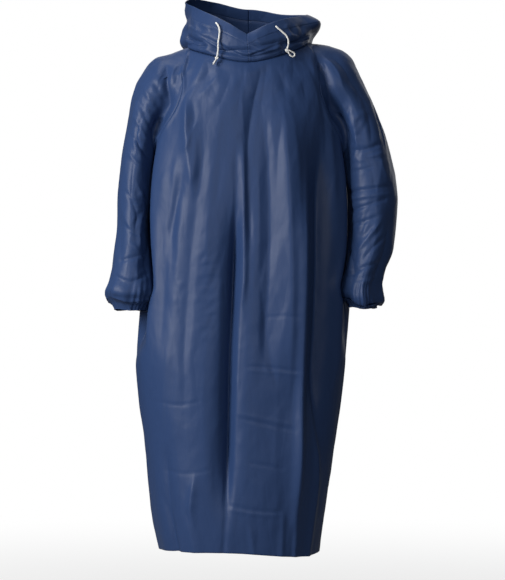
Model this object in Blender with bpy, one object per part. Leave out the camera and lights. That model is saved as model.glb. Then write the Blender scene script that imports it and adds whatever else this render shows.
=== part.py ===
"""A worn pullover raincoat of thin film: front, back, raglan sleeves with elastic cuffs, a hood
pushed back round the neck, and the two ends of its drawcord.

Metres, +Z up. The front faces -Y, and the wearer's right side is at -X. The origin lies on the
centre line at shoulder height, where the coat hangs from the shoulders.
"""

import math

import bmesh
import bpy
import numpy as np

COLLECTION = "raincoat"

# ---- driving dimensions -------------------------------------------------------------------
WALL = 0.0016                 # thickness of every cloth wall
SEAM_PULL = 0.0002            # each piece stops this short of its seam line
UNDERARM_PULL = 0.0004        # the same for a sleeve at its underarm point, where four seams meet
SLEEVE_GAP = 0.0075           # free space between a sleeve and the coat's side
FOLD_AGREE = 0.7              # two pieces whose normals agree less than this meet in a sharp fold
CHEST_Z = -0.250              # height of the underarm points and of the chest centre
ARMHOLE_Z = (-0.085, -0.185)  # the sleeve parts from the coat's side between these heights
SHOULDER_ROUND = 0.045        # soft fillets: where sleeve, shoulder and body run into one another,
SLEEVE_HEAD_ROUND = 0.02      # at the head of a sleeve,
ARMPIT_ROUND = 0.002          # in the armpit, and
PRESS_ROUND = 0.012           # where the arm presses into the coat's side
BLEND_REACH = 0.09            # more than any fillet, so that none shows where it doesn't belong
CASING = 0.026                # width of the turned casing along the hood's face edge
CASING_RISE = 0.0010          # how far the casing stands out
HOOD_CLEARANCE = 0.0042       # free space between the hood and the shoulders it lies on
HOOD_FOOT = 0.0055            # how soon above its seam the hood stands that clear
CORD_DIAMETER = 0.0038
KNOT_RADIUS = 0.0041
CORD_GAP = 0.0003             # free space between a cord's end and its knot

SIDES = {"right": -1.0, "left": 1.0}

# Grid sizes: columns across a panel, rows up it.
FRONT_COLUMNS = 36
BACK_COLUMNS = 28
SKIRT_ROWS = 15
YOKE_ROWS = 9
SLEEVE_COLUMNS = 24
SLEEVE_LEVELS = (-0.566, -0.5595, -0.548, -0.530)   # closer rows where a sleeve turns to its cuff
SLEEVE_ROWS = 12
HOOD_ROWS = 14
PANEL_STEP = 2                # the hood has a column for every second one of a body panel
SLEEVE_STEP = 4               # and for every fourth one of a sleeve
CUFF_COLUMNS = 60
CUFF_ROWS = 3

# ---- the form of the worn cloth -----------------------------------------------------------
# Level sections of the coat round the body, before the sleeves press in.
# height, right edge, left edge, front, back
BODY_SECTIONS = (
    (-1.160, -0.202, 0.160, -0.186, 0.176),
    (-1.080, -0.220, 0.172, -0.185, 0.175),
    (-0.990, -0.231, 0.186, -0.183, 0.172),
    (-0.900, -0.239, 0.200, -0.181, 0.170),
    (-0.800, -0.254, 0.214, -0.178, 0.167),
    (-0.700, -0.263, 0.224, -0.175, 0.160),
    (-0.580, -0.256, 0.236, -0.170, 0.152),
    (-0.400, -0.246, 0.242, -0.163, 0.143),
    (-0.250, -0.232, 0.230, -0.153, 0.134),
    (-0.150, -0.208, 0.208, -0.146, 0.124),
    (-0.080, -0.180, 0.184, -0.136, 0.112),
    (-0.030, -0.148, 0.154, -0.120, 0.100),
    (0.010, -0.118, 0.124, -0.095, 0.085),
    (0.050, -0.060, 0.065, -0.050, 0.050),
)
BODY_POWER = 2.4              # roundness of those sections: 2 is an ellipse

# Level sections of each sleeve: height, inner edge, outer edge, front, back
SLEEVE_SECTIONS = {
    "right": (
        (-0.040, -0.140, -0.226, -0.060, 0.064),
        (-0.070, -0.152, -0.253, -0.074, 0.076),
        (-0.110, -0.172, -0.268, -0.082, 0.078),
        (-0.160, -0.194, -0.277, -0.088, 0.074),
        (-0.250, -0.216, -0.292, -0.092, 0.062),
        (-0.345, -0.226, -0.300, -0.098, 0.050),
        (-0.414, -0.225, -0.302, -0.104, 0.044),
        (-0.483, -0.216, -0.311, -0.112, 0.036),
        (-0.530, -0.209, -0.318, -0.118, 0.030),
        (-0.553, -0.209, -0.324, -0.119, 0.026),
        (-0.566, -0.215, -0.319, -0.112, 0.018),
        (-0.605, -0.226, -0.312, -0.102, 0.008),
    ),
    "left": (
        (-0.040, 0.140, 0.238, -0.060, 0.064),
        (-0.070, 0.154, 0.258, -0.074, 0.076),
        (-0.110, 0.174, 0.279, -0.082, 0.078),
        (-0.160, 0.193, 0.300, -0.088, 0.074),
        (-0.250, 0.214, 0.326, -0.092, 0.062),
        (-0.330, 0.222, 0.339, -0.098, 0.052),
        (-0.414, 0.224, 0.335, -0.104, 0.044),
        (-0.470, 0.221, 0.326, -0.110, 0.038),
        (-0.515, 0.213, 0.307, -0.114, 0.032),
        (-0.545, 0.206, 0.303, -0.117, 0.028),
        (-0.556, 0.207, 0.307, -0.117, 0.024),
        (-0.566, 0.213, 0.303, -0.110, 0.018),
        (-0.600, 0.218, 0.294, -0.100, 0.006),
    ),
}

# The round of each shoulder: centre x, y, z and radius.
SHOULDERS = {
    "right": (-0.172, 0.000, -0.074, 0.062),
    "left": (0.180, 0.000, -0.060, 0.062),
}

# The coat springs out again below the sleeve's end at this height, at this slope.
SLEEVE_END_Z = -0.625
SLEEVE_END_EASE = 0.35

# Height of the hem by azimuth: 0 is the centre front, 90 the wearer's left side.
HEM = (
    (-90, -1.143),
    (0, -1.136),
    (40, -1.146),
    (90, -1.148),
    (180, -1.150),
    (270, -1.143),
)

# Raglan seams from the neckline down to the crease of the arm: x, y, z.
RAGLANS = {
    ("right", "front"): (
        (-0.138, -0.042, 0.002),
        (-0.148, -0.085, -0.057),
        (-0.165, -0.112, -0.095),
        (-0.180, -0.112, -0.140),
        (-0.205, -0.085, -0.195),
        (-0.214, -0.050, -0.230),
    ),
    ("right", "back"): (
        (-0.128, 0.042, 0.008),
        (-0.150, 0.078, -0.050),
        (-0.170, 0.098, -0.100),
        (-0.190, 0.095, -0.150),
        (-0.205, 0.070, -0.200),
        (-0.212, 0.040, -0.232),
    ),
    ("left", "front"): (
        (0.136, -0.040, 0.016),
        (0.155, -0.078, -0.030),
        (0.178, -0.105, -0.070),
        (0.196, -0.108, -0.125),
        (0.208, -0.085, -0.190),
        (0.214, -0.050, -0.230),
    ),
    ("left", "back"): (
        (0.128, 0.042, 0.018),
        (0.152, 0.078, -0.045),
        (0.172, 0.098, -0.100),
        (0.190, 0.095, -0.150),
        (0.205, 0.070, -0.200),
        (0.212, 0.040, -0.232),
    ),
}
NECK_FRONT = (0.0, -0.125, -0.041)
NECK_BACK = (0.0, 0.092, 0.012)

# Where a sleeve's rows are fanned from, neck to underarm: share of the way, distance from the
# centre line, height, then the distance and height of the point they point at.
SLEEVE_FANS = (
    (0.00, 0.253, -0.250, 0.330, -0.250),
    (0.30, 0.235, -0.170, 0.330, -0.130),
    (0.55, 0.200, -0.120, 0.270, 0.010),
    (0.80, 0.150, -0.105, 0.175, 0.040),
    (1.00, 0.115, -0.105, 0.140, 0.030),
)

# Folds that run down the panels: side, then x and z at the top, middle and foot, half width and
# depth. A negative depth is a ridge.
BODY_FOLDS = (
    ("front", 0.022, -0.074, 0.000, -0.200, 0.005, -0.480, 0.016, 0.012),
    ("front", -0.028, -0.330, -0.044, -0.660, -0.055, -1.080, 0.017, 0.036),
    ("front", -0.016, -0.200, -0.011, -0.420, -0.020, -0.640, 0.011, -0.009),
    ("front", -0.136, -0.240, -0.180, -0.434, -0.200, -0.700, 0.016, 0.014),
    ("front", -0.095, -0.200, -0.129, -0.460, -0.150, -0.740, 0.016, 0.013),
    ("front", 0.038, -0.130, 0.046, -0.440, 0.029, -0.760, 0.014, 0.010),
    ("front", 0.076, -0.110, 0.092, -0.460, 0.091, -0.800, 0.028, -0.014),
    ("front", 0.130, -0.260, 0.121, -0.680, 0.098, -1.130, 0.016, -0.012),
    ("front", 0.168, -0.200, 0.160, -0.520, 0.140, -0.900, 0.020, 0.016),
    ("front", 0.147, -0.740, 0.152, -0.970, 0.128, -1.145, 0.010, -0.008),
    ("front", -0.141, -0.110, -0.138, -0.200, -0.126, -0.340, 0.016, -0.009),
    ("front", -0.190, -0.900, -0.180, -1.030, -0.165, -1.145, 0.012, 0.008),
    ("front", -0.120, -0.960, -0.128, -1.060, -0.114, -1.145, 0.010, -0.007),
    ("back", 0.010, -0.230, 0.020, -0.600, 0.030, -1.100, 0.022, 0.020),
    ("back", -0.060, -0.160, -0.075, -0.500, -0.085, -1.000, 0.020, -0.012),
    ("back", 0.085, -0.150, 0.095, -0.480, 0.090, -1.050, 0.022, -0.013),
    ("back", -0.120, -0.280, -0.140, -0.640, -0.130, -1.120, 0.018, 0.018),
    ("back", 0.140, -0.260, 0.150, -0.600, 0.125, -1.100, 0.018, 0.016),
    ("back", -0.020, -0.500, -0.030, -0.800, -0.035, -1.145, 0.018, -0.010),
)

# Creases that cross the sleeves: side, height at the outer edge, height gained towards the front
# inner edge, half width, depth.
SLEEVE_FOLDS = (
    ("right", -0.105, -0.070, 0.015, 0.007),
    ("right", -0.190, 0.070, 0.013, 0.006),
    ("right", -0.290, -0.060, 0.016, 0.005),
    ("right", -0.380, 0.080, 0.017, 0.005),
    ("right", -0.450, -0.060, 0.015, 0.006),
    ("right", -0.500, 0.040, 0.013, 0.007),
    ("right", -0.530, -0.020, 0.010, 0.006),
    ("left", -0.140, -0.080, 0.018, 0.006),
    ("left", -0.235, 0.050, 0.013, 0.005),
    ("left", -0.325, -0.030, 0.011, 0.007),
    ("left", -0.368, -0.050, 0.012, 0.006),
    ("left", -0.440, -0.080, 0.015, 0.007),
    ("left", -0.505, -0.050, 0.014, 0.008),
    ("left", -0.535, 0.020, 0.010, 0.006),
)

# The hood by azimuth from the centre front: the face edge x, y, z, then how far the cloth leans
# out and rises where it leaves the neckline, and where it reaches the edge.
HOOD_STATIONS = {
    "right": (
        (0, -0.004, -0.128, 0.022, 0.014, 0.020, 0.014, -0.020),
        (20, -0.042, -0.116, 0.046, 0.018, 0.024, 0.016, -0.022),
        (45, -0.084, -0.082, 0.070, 0.026, 0.026, 0.016, -0.030),
        (70, -0.125, -0.030, 0.094, 0.030, 0.018, -0.002, -0.034),
        (95, -0.148, 0.020, 0.111, 0.034, 0.012, -0.010, -0.040),
        (120, -0.134, 0.082, 0.128, 0.080, -0.040, 0.050, -0.090),
        (150, -0.078, 0.135, 0.126, 0.098, -0.190, 0.090, -0.220),
        (180, 0.000, 0.152, 0.112, 0.100, -0.270, 0.100, -0.310),
    ),
    "left": (
        (0, -0.004, -0.128, 0.022, 0.014, 0.020, 0.014, -0.020),
        (20, 0.036, -0.118, 0.044, 0.018, 0.022, 0.016, -0.020),
        (45, 0.078, -0.084, 0.060, 0.024, 0.022, 0.018, -0.024),
        (70, 0.110, -0.034, 0.072, 0.020, 0.010, 0.026, -0.020),
        (95, 0.134, 0.014, 0.082, 0.018, 0.006, 0.040, -0.016),
        (120, 0.126, 0.078, 0.090, 0.066, -0.030, 0.060, -0.060),
        (150, 0.078, 0.134, 0.098, 0.098, -0.190, 0.090, -0.200),
        (180, 0.000, 0.152, 0.112, 0.100, -0.270, 0.100, -0.310),
    ),
}

# Slack folds across the front of the hood: azimuth, share of the height, tilt, half width, depth
HOOD_FOLDS = (
    (-6, 0.17, 0.00, 0.07, 0.006),
    (12, 0.30, 0.10, 0.06, 0.006),
    (-36, 0.40, -0.20, 0.07, 0.007),
    (-66, 0.30, -0.10, 0.09, 0.010),
    (58, 0.32, 0.10, 0.09, 0.012),
)

# Routes of the two cord ends, from the hole in the casing down towards the knot: x, y, z.
CORD_ROUTES = {
    "right": (
        (-0.0743, -0.1060, 0.0497),
        (-0.0694, -0.1154, 0.0424),
        (-0.0662, -0.1202, 0.0336),
        (-0.0659, -0.1222, 0.0252),
        (-0.0667, -0.1236, 0.0177),
        (-0.0676, -0.1247, 0.0110),
        (-0.0687, -0.1251, 0.0043),
        (-0.0690, -0.1252, -0.0092),
        (-0.0706, -0.1252, -0.0249),
    ),
    "left": (
        (0.0602, -0.1158, 0.0408),
        (0.0652, -0.1170, 0.0360),
        (0.0711, -0.1158, 0.0314),
        (0.0762, -0.1153, 0.0269),
        (0.0811, -0.1147, 0.0226),
        (0.0849, -0.1142, 0.0182),
        (0.0878, -0.1138, 0.0123),
        (0.0888, -0.1135, 0.0040),
        (0.0876, -0.1132, -0.0040),
    ),
}
KNOTS = {"right": (-0.0722, -0.1252, -0.0322), "left": (0.0852, -0.1130, -0.0135)}

# The small loop below each knot, from the knot round to the knot again: x, y, z.
CORD_LOOPS = {
    "right": (
        (-0.0745, -0.1275, -0.0368),
        (-0.0776, -0.1288, -0.0412),
        (-0.0796, -0.1270, -0.0450),
        (-0.0790, -0.1238, -0.0446),
        (-0.0766, -0.1218, -0.0408),
        (-0.0738, -0.1222, -0.0364),
    ),
    "left": (
        (0.0904, -0.1128, -0.0137),
        (0.0968, -0.1105, -0.0160),
        (0.1020, -0.1080, -0.0192),
        (0.1030, -0.1072, -0.0236),
        (0.0994, -0.1082, -0.0268),
        (0.0940, -0.1104, -0.0250),
        (0.0886, -0.1122, -0.0178),
    ),
}

# ---- materials: base colour, roughness ----------------------------------------------------
FILM = ((0.030, 0.052, 0.150, 1.0), 0.34)
HOOD_FILM = ((0.027, 0.046, 0.135, 1.0), 0.34)
CORD_COTTON = ((0.86, 0.86, 0.84, 1.0), 0.80)


# ---- small mathematics ---------------------------------------------------------------------
def smoothstep(low, high, value):
    """Rise softly from 0 at low to 1 at high."""
    share = np.clip((np.asarray(value, float) - low) / (high - low), 0.0, 1.0)
    return share * share * (3.0 - 2.0 * share)


def smooth_table(rows, at):
    """Smooth values of a table's columns; its first column is the running coordinate."""
    table = np.array(sorted(rows), float)
    knots, values = table[:, 0], table[:, 1:]
    slopes = np.gradient(values, knots, axis=0)
    at = np.clip(np.asarray(at, float), knots[0], knots[-1])
    cell = np.clip(np.searchsorted(knots, at) - 1, 0, len(knots) - 2)
    span = knots[cell + 1] - knots[cell]
    t = ((at - knots[cell]) / span)[..., None]
    span = span[..., None]
    start = (1 + 2 * t) * (1 - t) ** 2 * values[cell] + t * (1 - t) ** 2 * span * slopes[cell]
    end = t ** 2 * (3 - 2 * t) * values[cell + 1] + t ** 2 * (t - 1) * span * slopes[cell + 1]
    return np.moveaxis(start + end, -1, 0)


def smooth_path(points, share):
    """Points on a smooth curve through a few points, by share of its length."""
    points = np.array(points, float)
    steps = np.linalg.norm(np.diff(points, axis=0), axis=1)
    reach = np.concatenate(([0.0], np.cumsum(steps))) / steps.sum()
    rows = [(r, *p) for r, p in zip(reach, points)]
    return np.stack(smooth_table(rows, share), axis=-1)


def unit(vectors):
    """The same directions at length 1."""
    return vectors / np.linalg.norm(vectors, axis=-1, keepdims=True)


def join(a, b, blend):
    """Union of two fields with a soft fillet."""
    h = np.clip(0.5 + 0.5 * (b - a) / blend, 0.0, 1.0)
    return b + (a - b) * h - blend * h * (1.0 - h)


# ---- the fields: below zero inside the worn form --------------------------------------------
def section_field(points, table, power):
    """Distance-like field of a stack of level sections."""
    edge_a, edge_b, front, back = smooth_table(table, points[..., 2])
    wide = np.abs(edge_b - edge_a) / 2
    deep = (back - front) / 2
    across = np.abs(points[..., 0] - (edge_a + edge_b) / 2) / wide
    along = np.abs(points[..., 1] - (front + back) / 2) / deep
    return ((across ** power + along ** power) ** (1 / power) - 1) * np.minimum(wide, deep)


def sleeve_field(points, side):
    """One arm's sleeve: a stack of sections under the round of the shoulder."""
    x, y, z, radius = SHOULDERS[side]
    ball = np.linalg.norm(points - (x, y, z), axis=-1) - radius
    tube = section_field(points, SLEEVE_SECTIONS[side], 2.0)
    tube = np.maximum(tube, points[..., 2] - z)
    below = (SLEEVE_END_Z - points[..., 2]) * SLEEVE_END_EASE
    return np.maximum(join(ball, tube, SLEEVE_HEAD_ROUND), below)


def yoke_field(points):
    """The cloth that lies from shoulder to shoulder."""
    start = np.array(SHOULDERS["right"])
    end = np.array(SHOULDERS["left"])
    axis = end[:3] - start[:3]
    share = np.clip((points - start[:3]) @ axis / (axis @ axis), 0.0, 1.0)[..., None]
    middle = start[:3] + share * axis
    radius = (start[3] + share * (end[3] - start[3]))[..., 0]
    body = section_field(points, BODY_SECTIONS, BODY_POWER)
    return join(body, np.linalg.norm(points - middle, axis=-1) - radius, SHOULDER_ROUND)


def shoulder_field(points):
    """Everything that the hood lies on."""
    field = yoke_field(points)
    for side in SIDES:
        field = join(field, sleeve_field(points, side), SHOULDER_ROUND)
    return field


def gradient(field, points, step=0.0005):
    """Unit direction in which a field grows."""
    slopes = []
    for axis in np.eye(3):
        slopes.append(field(points + axis * step) - field(points - axis * step))
    return unit(np.stack(slopes, axis=-1))


def armhole_depth(points):
    """0 over the shoulder, 1 from the depth of the armhole down, where the sleeve is free."""
    return smoothstep(*ARMHOLE_Z, points[..., 2])


def coat_field(points, gap=SLEEVE_GAP):
    """The front and back panels, pressed in by the sleeves below the shoulder."""
    free = armhole_depth(points)
    field = yoke_field(points)
    arms = [sleeve_field(points, side) for side in SIDES]
    for arm in arms:
        field = join(field, arm, SHOULDER_ROUND * (1 - free) + ARMPIT_ROUND)
    for arm in arms:
        field = -join(-field, arm - gap * free + BLEND_REACH * (1 - free), PRESS_ROUND)
    return field


def arm_field(points, side):
    """A sleeve panel: joined to the shoulder above, a free tube below."""
    free = armhole_depth(points)
    arm = sleeve_field(points, side)
    field = join(yoke_field(points), arm, SHOULDER_ROUND * (1 - free) + ARMPIT_ROUND)
    return np.maximum(field, arm - BLEND_REACH * (1 - free))


def cast(field, origins, directions, reach=0.5, steps=60, halvings=24):
    """First crossing from inside to outside of a field along each ray."""
    directions = unit(directions)
    origins = np.broadcast_to(origins, directions.shape)
    low = np.zeros(directions.shape[:-1])
    high = np.full(directions.shape[:-1], reach)
    found = np.zeros(directions.shape[:-1], bool)
    for step in range(1, steps + 1):
        distance = reach * step / steps
        outside = field(origins + directions * distance) > 0
        first = outside & ~found
        high[first] = distance
        low[~found & ~outside] = distance
        found |= outside
    for _ in range(halvings):
        middle = (low + high) / 2
        outside = field(origins + directions * middle[..., None]) > 0
        high = np.where(outside, middle, high)
        low = np.where(outside, low, middle)
    return origins + directions * low[..., None]


# ---- seam lines ------------------------------------------------------------------------------
def axis_point(z):
    """Centre of the coat's level section."""
    edge_a, edge_b, front, back = smooth_table(BODY_SECTIONS, z)
    return np.stack([(edge_a + edge_b) / 2, (front + back) / 2, np.asarray(z, float)], axis=-1)


CHEST = axis_point(CHEST_Z)


def aim(azimuth, elevation):
    """Unit direction, azimuth 0 towards the front and 90 towards the wearer's left."""
    return np.stack([
        np.sin(azimuth) * np.cos(elevation),
        -np.cos(azimuth) * np.cos(elevation),
        np.sin(elevation),
    ], axis=-1)


def angles_of(directions):
    """Azimuth and elevation of directions."""
    azimuth = np.arctan2(directions[..., 0], -directions[..., 1])
    level = np.hypot(directions[..., 0], directions[..., 1])
    return azimuth, np.arctan2(directions[..., 2], level)


def raglan_seam(side, face):
    """Seam points from the underarm up to the neckline, one for each row of the yoke."""
    guide = list(RAGLANS[side, face])
    guide.append(tuple(CHEST + np.array([SIDES[side] * 0.2, 0.0, 0.0])))
    path = smooth_path(guide[::-1], np.linspace(0, 1, YOKE_ROWS + 1))
    return cast(lambda p: coat_field(p, SLEEVE_GAP / 2), CHEST, path - CHEST)


# ---- panels ----------------------------------------------------------------------------------
def yoke_rows(face, columns):
    """Rows of a body panel from underarm height to the neckline, right edge to left edge."""
    start, end = raglan_seam("right", face), raglan_seam("left", face)
    azimuth_a, elevation_a = angles_of(start - CHEST)
    azimuth_b, elevation_b = angles_of(end - CHEST)
    neck = np.array(NECK_FRONT if face == "front" else NECK_BACK)
    neck_elevation = angles_of(neck - CHEST)[1]
    if face == "back":
        azimuth_a = azimuth_a + 2 * math.pi
    across = np.linspace(-1, 1, columns + 1)
    share = np.linspace(0, 1, YOKE_ROWS + 1)[:, None]
    azimuth = azimuth_a[:, None] * (1 - across) / 2 + azimuth_b[:, None] * (1 + across) / 2
    edge = np.where(across < 0, elevation_a[:, None], elevation_b[:, None])
    middle = share * neck_elevation
    elevation = middle + (edge - middle) * np.abs(across) ** 2.6
    rows = cast(coat_field, CHEST, aim(azimuth, elevation))
    rows[:, 0], rows[:, -1] = start, end
    return rows


def skirt_rows(face, columns):
    """Rows of a body panel from the hem to just under the underarm."""
    start, end = (-90.0, 90.0) if face == "front" else (270.0, 90.0)
    azimuth = np.linspace(start, end, columns + 1)
    hem = smooth_table(HEM, azimuth)[0]
    share = (np.arange(SKIRT_ROWS) / SKIRT_ROWS)[:, None]
    z = hem * (1 - share) + CHEST_Z * share
    directions = aim(np.radians(azimuth), np.zeros_like(azimuth))
    directions = np.broadcast_to(directions, (*z.shape, 3))
    return cast(coat_field, axis_point(z), directions)


def straighten(row, every):
    """Put the points of a row on straight lines between every so many of them."""
    at = np.arange(len(row))
    return np.stack([np.interp(at, at[::every], row[::every, k]) for k in range(3)], axis=-1)


def body_panel(face, columns):
    """Outer points of the front or back, row by row from the hem to the neckline."""
    grid = np.concatenate([skirt_rows(face, columns), yoke_rows(face, columns)])
    grid[-1] = straighten(grid[-1], PANEL_STEP)
    return grid


def sleeve_panel(side):
    """Outer points of a sleeve: a closed tube from the cuff to the underarm, then a strip that
    narrows to the neckline. Every row runs from the front seam round the outside to the back."""
    sign = SIDES[side]
    front, back = raglan_seam(side, "front"), raglan_seam(side, "back")
    share = np.linspace(0, 1, YOKE_ROWS + 1)
    out, height, aim_out, aim_height = smooth_table(SLEEVE_FANS, share)
    level = np.full_like(out, CHEST[1])
    origins = np.stack([sign * out, level, height], axis=-1)
    ahead = unit(np.stack([sign * aim_out, level, aim_height], axis=-1) - origins)
    forward = np.broadcast_to(np.array([0.0, -1.0, 0.0]), ahead.shape)
    along = np.cross(ahead, forward)
    edge_a, edge_b, front_y, back_y = smooth_table(SLEEVE_SECTIONS[side], CHEST_Z)
    flatness = 1 - (1 - share) * (1 - abs(edge_b - edge_a) / (back_y - front_y))

    def local_angles(points):
        offset = points - origins
        a, b, c = [(offset * axis).sum(-1) for axis in (ahead, forward, along)]
        return np.arctan2(b, a / flatness), np.arctan2(c, np.hypot(a, b))

    turn_a, tilt_a = local_angles(front)
    turn_b, tilt_b = local_angles(back)
    turn_a[0], turn_b[0] = math.pi, -math.pi
    across = np.linspace(0, 1, SLEEVE_COLUMNS + 1)
    turn = turn_a[:, None] * (1 - across) + turn_b[:, None] * across
    tilt = (tilt_a[:, None] * np.clip(1 - 2 * across, 0, 1) ** 1.5
            + tilt_b[:, None] * np.clip(2 * across - 1, 0, 1) ** 1.5)
    directions = unit((flatness[:, None] * np.cos(turn))[..., None] * ahead[:, None]
                      + np.sin(turn)[..., None] * forward[:, None])
    directions = np.cos(tilt)[..., None] * directions + np.sin(tilt)[..., None] * along[:, None]
    strip = cast(lambda p: arm_field(p, side), origins[:, None] + 0 * directions, directions)
    strip[:, 0], strip[:, -1] = front, back
    strip[-1] = straighten(strip[-1], SLEEVE_STEP)

    even = np.linspace(SLEEVE_LEVELS[-1], CHEST_Z, SLEEVE_ROWS - len(SLEEVE_LEVELS) + 2)[1:-1]
    z = np.concatenate([SLEEVE_LEVELS, even])
    edge_a, edge_b, front_y, back_y = smooth_table(SLEEVE_SECTIONS[side], z)
    centres = np.stack([(edge_a + edge_b) / 2, (front_y + back_y) / 2, z], axis=-1)
    turn = np.linspace(math.pi, -math.pi, SLEEVE_COLUMNS + 1)
    wide, deep = np.abs(edge_b - edge_a)[:, None], (back_y - front_y)[:, None]
    directions = np.stack([sign * wide * np.cos(turn), -deep * np.sin(turn), 0 * wide * turn], axis=-1)
    tube = cast(lambda p: sleeve_field(p, side), centres[:, None] + 0 * directions, directions)
    tube[:, -1] = tube[:, 0]
    return np.concatenate([tube, strip])


# ---- folds -----------------------------------------------------------------------------------
def body_fold_height(points):
    """How far the folds lift the cloth of the panels at each point."""
    x, y, z = np.moveaxis(points, -1, 0)
    facing = (axis_point(z)[..., 1] - y)
    lift = np.zeros_like(x)
    for side, x0, z0, x1, z1, x2, z2, width, depth in BODY_FOLDS:
        toward = facing if side == "front" else -facing
        path = smooth_table(((z2, x2), (z1, x1), (z0, x0)), z)[0]
        length = z0 - z2
        ends = smoothstep(z0 + 0.02, z0 - 0.25 * length, z)
        if z2 > HEM[0][1] + 0.04:
            ends = ends * smoothstep(z2 - 0.02, z2 + 0.25 * length, z)
        ends = ends * smoothstep(0.0, 0.05, toward)
        lift -= depth * ends * np.exp(-((x - path) / width) ** 2)
    near = np.minimum(*[sleeve_field(points, side) for side in SIDES])
    return lift * smoothstep(SLEEVE_GAP, 0.035, near)


def sleeve_fold_height(points, side):
    """How far the creases lift the cloth of a sleeve at each point."""
    x, y, z = np.moveaxis(points, -1, 0)
    edge_a, edge_b, front, back = smooth_table(SLEEVE_SECTIONS[side], z)
    across = (x - (edge_a + edge_b) / 2) / (np.abs(edge_b - edge_a) / 2) * SIDES[side]
    along = ((front + back) / 2 - y) / ((back - front) / 2)
    lift = np.zeros_like(x)
    for owner, height, gain, width, depth in SLEEVE_FOLDS:
        if owner == side:
            centre = height + gain * (1 - across) / 2 * np.sign(along + 0.3)
            inside = smoothstep(-0.85, -0.2, across) * (1 - 0.6 * smoothstep(0.6, 1.0, across))
            lift -= depth * np.exp(-((z - centre) / width) ** 2) * inside
    lift *= smoothstep(-0.02, -0.10, z) * smoothstep(SLEEVE_LEVELS[0], SLEEVE_LEVELS[0] + 0.02, z)
    return lift


def grid_normals(grids):
    """Outward normals of grids, shared where they meet at seams. Where cloth turns back on itself,
    as at the top of an armpit, each grid leans towards its own."""
    shared = {}
    keyed = []
    for grid in grids:
        normals = np.zeros((*grid.shape[:2], 4))
        a, b = grid[:-1, :-1], grid[:-1, 1:]
        c, d = grid[1:, 1:], grid[1:, :-1]
        face = np.cross(c - a, d - b)
        face = np.concatenate([face, np.linalg.norm(face, axis=-1, keepdims=True)], axis=-1)
        for rows, columns in ((0, 0), (0, 1), (1, 1), (1, 0)):
            height, width = face.shape[:2]
            normals[rows:rows + height, columns:columns + width] += face
        keys = [tuple(k) for k in np.round(grid.reshape(-1, 3) * 1e6).astype(int)]
        own = {}
        for key, normal in zip(keys, normals.reshape(-1, 4)):
            own[key] = own.get(key, 0) + normal
            shared[key] = shared.get(key, 0) + normal
        keyed.append((keys, own))
    out = []
    for grid, (keys, own) in zip(grids, keyed):
        normal = np.array([shared[k] for k in keys])
        leaning = unit(np.array([own[k] for k in keys])[:, :3])
        normal, area = normal[:, :3], normal[:, 3:]
        folded = np.clip(1.0 - 2.0 * np.linalg.norm(normal, axis=-1, keepdims=True) / area, 0.0, 1.0)
        down = np.array([0.0, 0.0, -1.0])
        normal = unit(normal + down * folded * area)
        agree = (normal * leaning).sum(-1, keepdims=True)
        normal = unit(normal + leaning * np.clip(3.0 - agree / FOLD_AGREE * 3.0, 0.0, 3.0))
        out.append(normal.reshape(grid.shape))
    return out


# ---- making walls ----------------------------------------------------------------------------
def seam_shift(grid, normals, edges, distance=SEAM_PULL):
    """Small vectors that draw the named edges of a grid square away from their seam lines."""
    shift = np.zeros_like(grid)
    for edge in edges:
        at, beside = {
            "first_row": ((0,), (1,)),
            "last_row": ((-1,), (-2,)),
            "first_column": ((slice(None), 0), (slice(None), 1)),
            "last_column": ((slice(None), -1), (slice(None), -2)),
        }[edge]
        line = grid[at]
        away = unit(np.cross(normals[at], np.gradient(line, axis=0)))
        away *= np.sign(np.sum(away * (grid[beside] - line)))
        shift[at] += away * distance
    return shift


def wall_mesh(name, outer, inner, loops):
    """One closed wall between an outer and an inner grid of points.

    loops gives, for each row, whether its last point is its first one again."""
    rows, columns = outer.shape[:2]
    index = np.zeros((2, rows, columns), int)
    points = []
    for layer, grid in enumerate((outer, inner)):
        for r in range(rows):
            for c in range(columns):
                if loops[r] and c == columns - 1:
                    index[layer, r, c] = index[layer, r, 0]
                else:
                    index[layer, r, c] = len(points)
                    points.append(tuple(grid[r, c]))
    faces = []
    for r in range(rows - 1):
        for c in range(columns - 1):
            rising = np.linalg.norm(outer[r + 1, c + 1] - outer[r, c])
            falling = np.linalg.norm(outer[r, c + 1] - outer[r + 1, c])
            corners = ((r, c), (r, c + 1), (r + 1, c + 1), (r + 1, c))
            if falling < rising:
                corners = corners[1:] + corners[:1]
            for layer, order in ((0, (0, 1, 2, 3)), (1, (0, 3, 2, 1))):
                i, j, k, l = [index[(layer, *corners[n])] for n in order]
                faces.extend([(i, j, k), (i, k, l)])
    for c in range(columns - 1):
        faces.append((index[0, 0, c + 1], index[0, 0, c], index[1, 0, c], index[1, 0, c + 1]))
        faces.append((index[0, -1, c], index[0, -1, c + 1], index[1, -1, c + 1], index[1, -1, c]))
    for r in range(rows - 1):
        if not (loops[r] and loops[r + 1]):
            faces.append((index[0, r, 0], index[0, r + 1, 0], index[1, r + 1, 0], index[1, r, 0]))
            faces.append((index[0, r + 1, -1], index[0, r, -1], index[1, r, -1], index[1, r + 1, -1]))
    mesh = bpy.data.meshes.new(name)
    mesh.from_pydata(points, [], faces)
    mesh.validate()
    return mesh


def add_object(name, data, finish, collection):
    """A named object with its own material."""
    colour, roughness = finish
    material = bpy.data.materials.new(name)
    material.use_nodes = True
    shader = material.node_tree.nodes["Principled BSDF"]
    shader.inputs["Base Color"].default_value = colour
    shader.inputs["Roughness"].default_value = roughness
    shader.inputs["Metallic"].default_value = 0.0
    material.diffuse_color = colour
    data.materials.append(material)
    item = bpy.data.objects.new(name, data)
    collection.objects.link(item)
    return item


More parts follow.
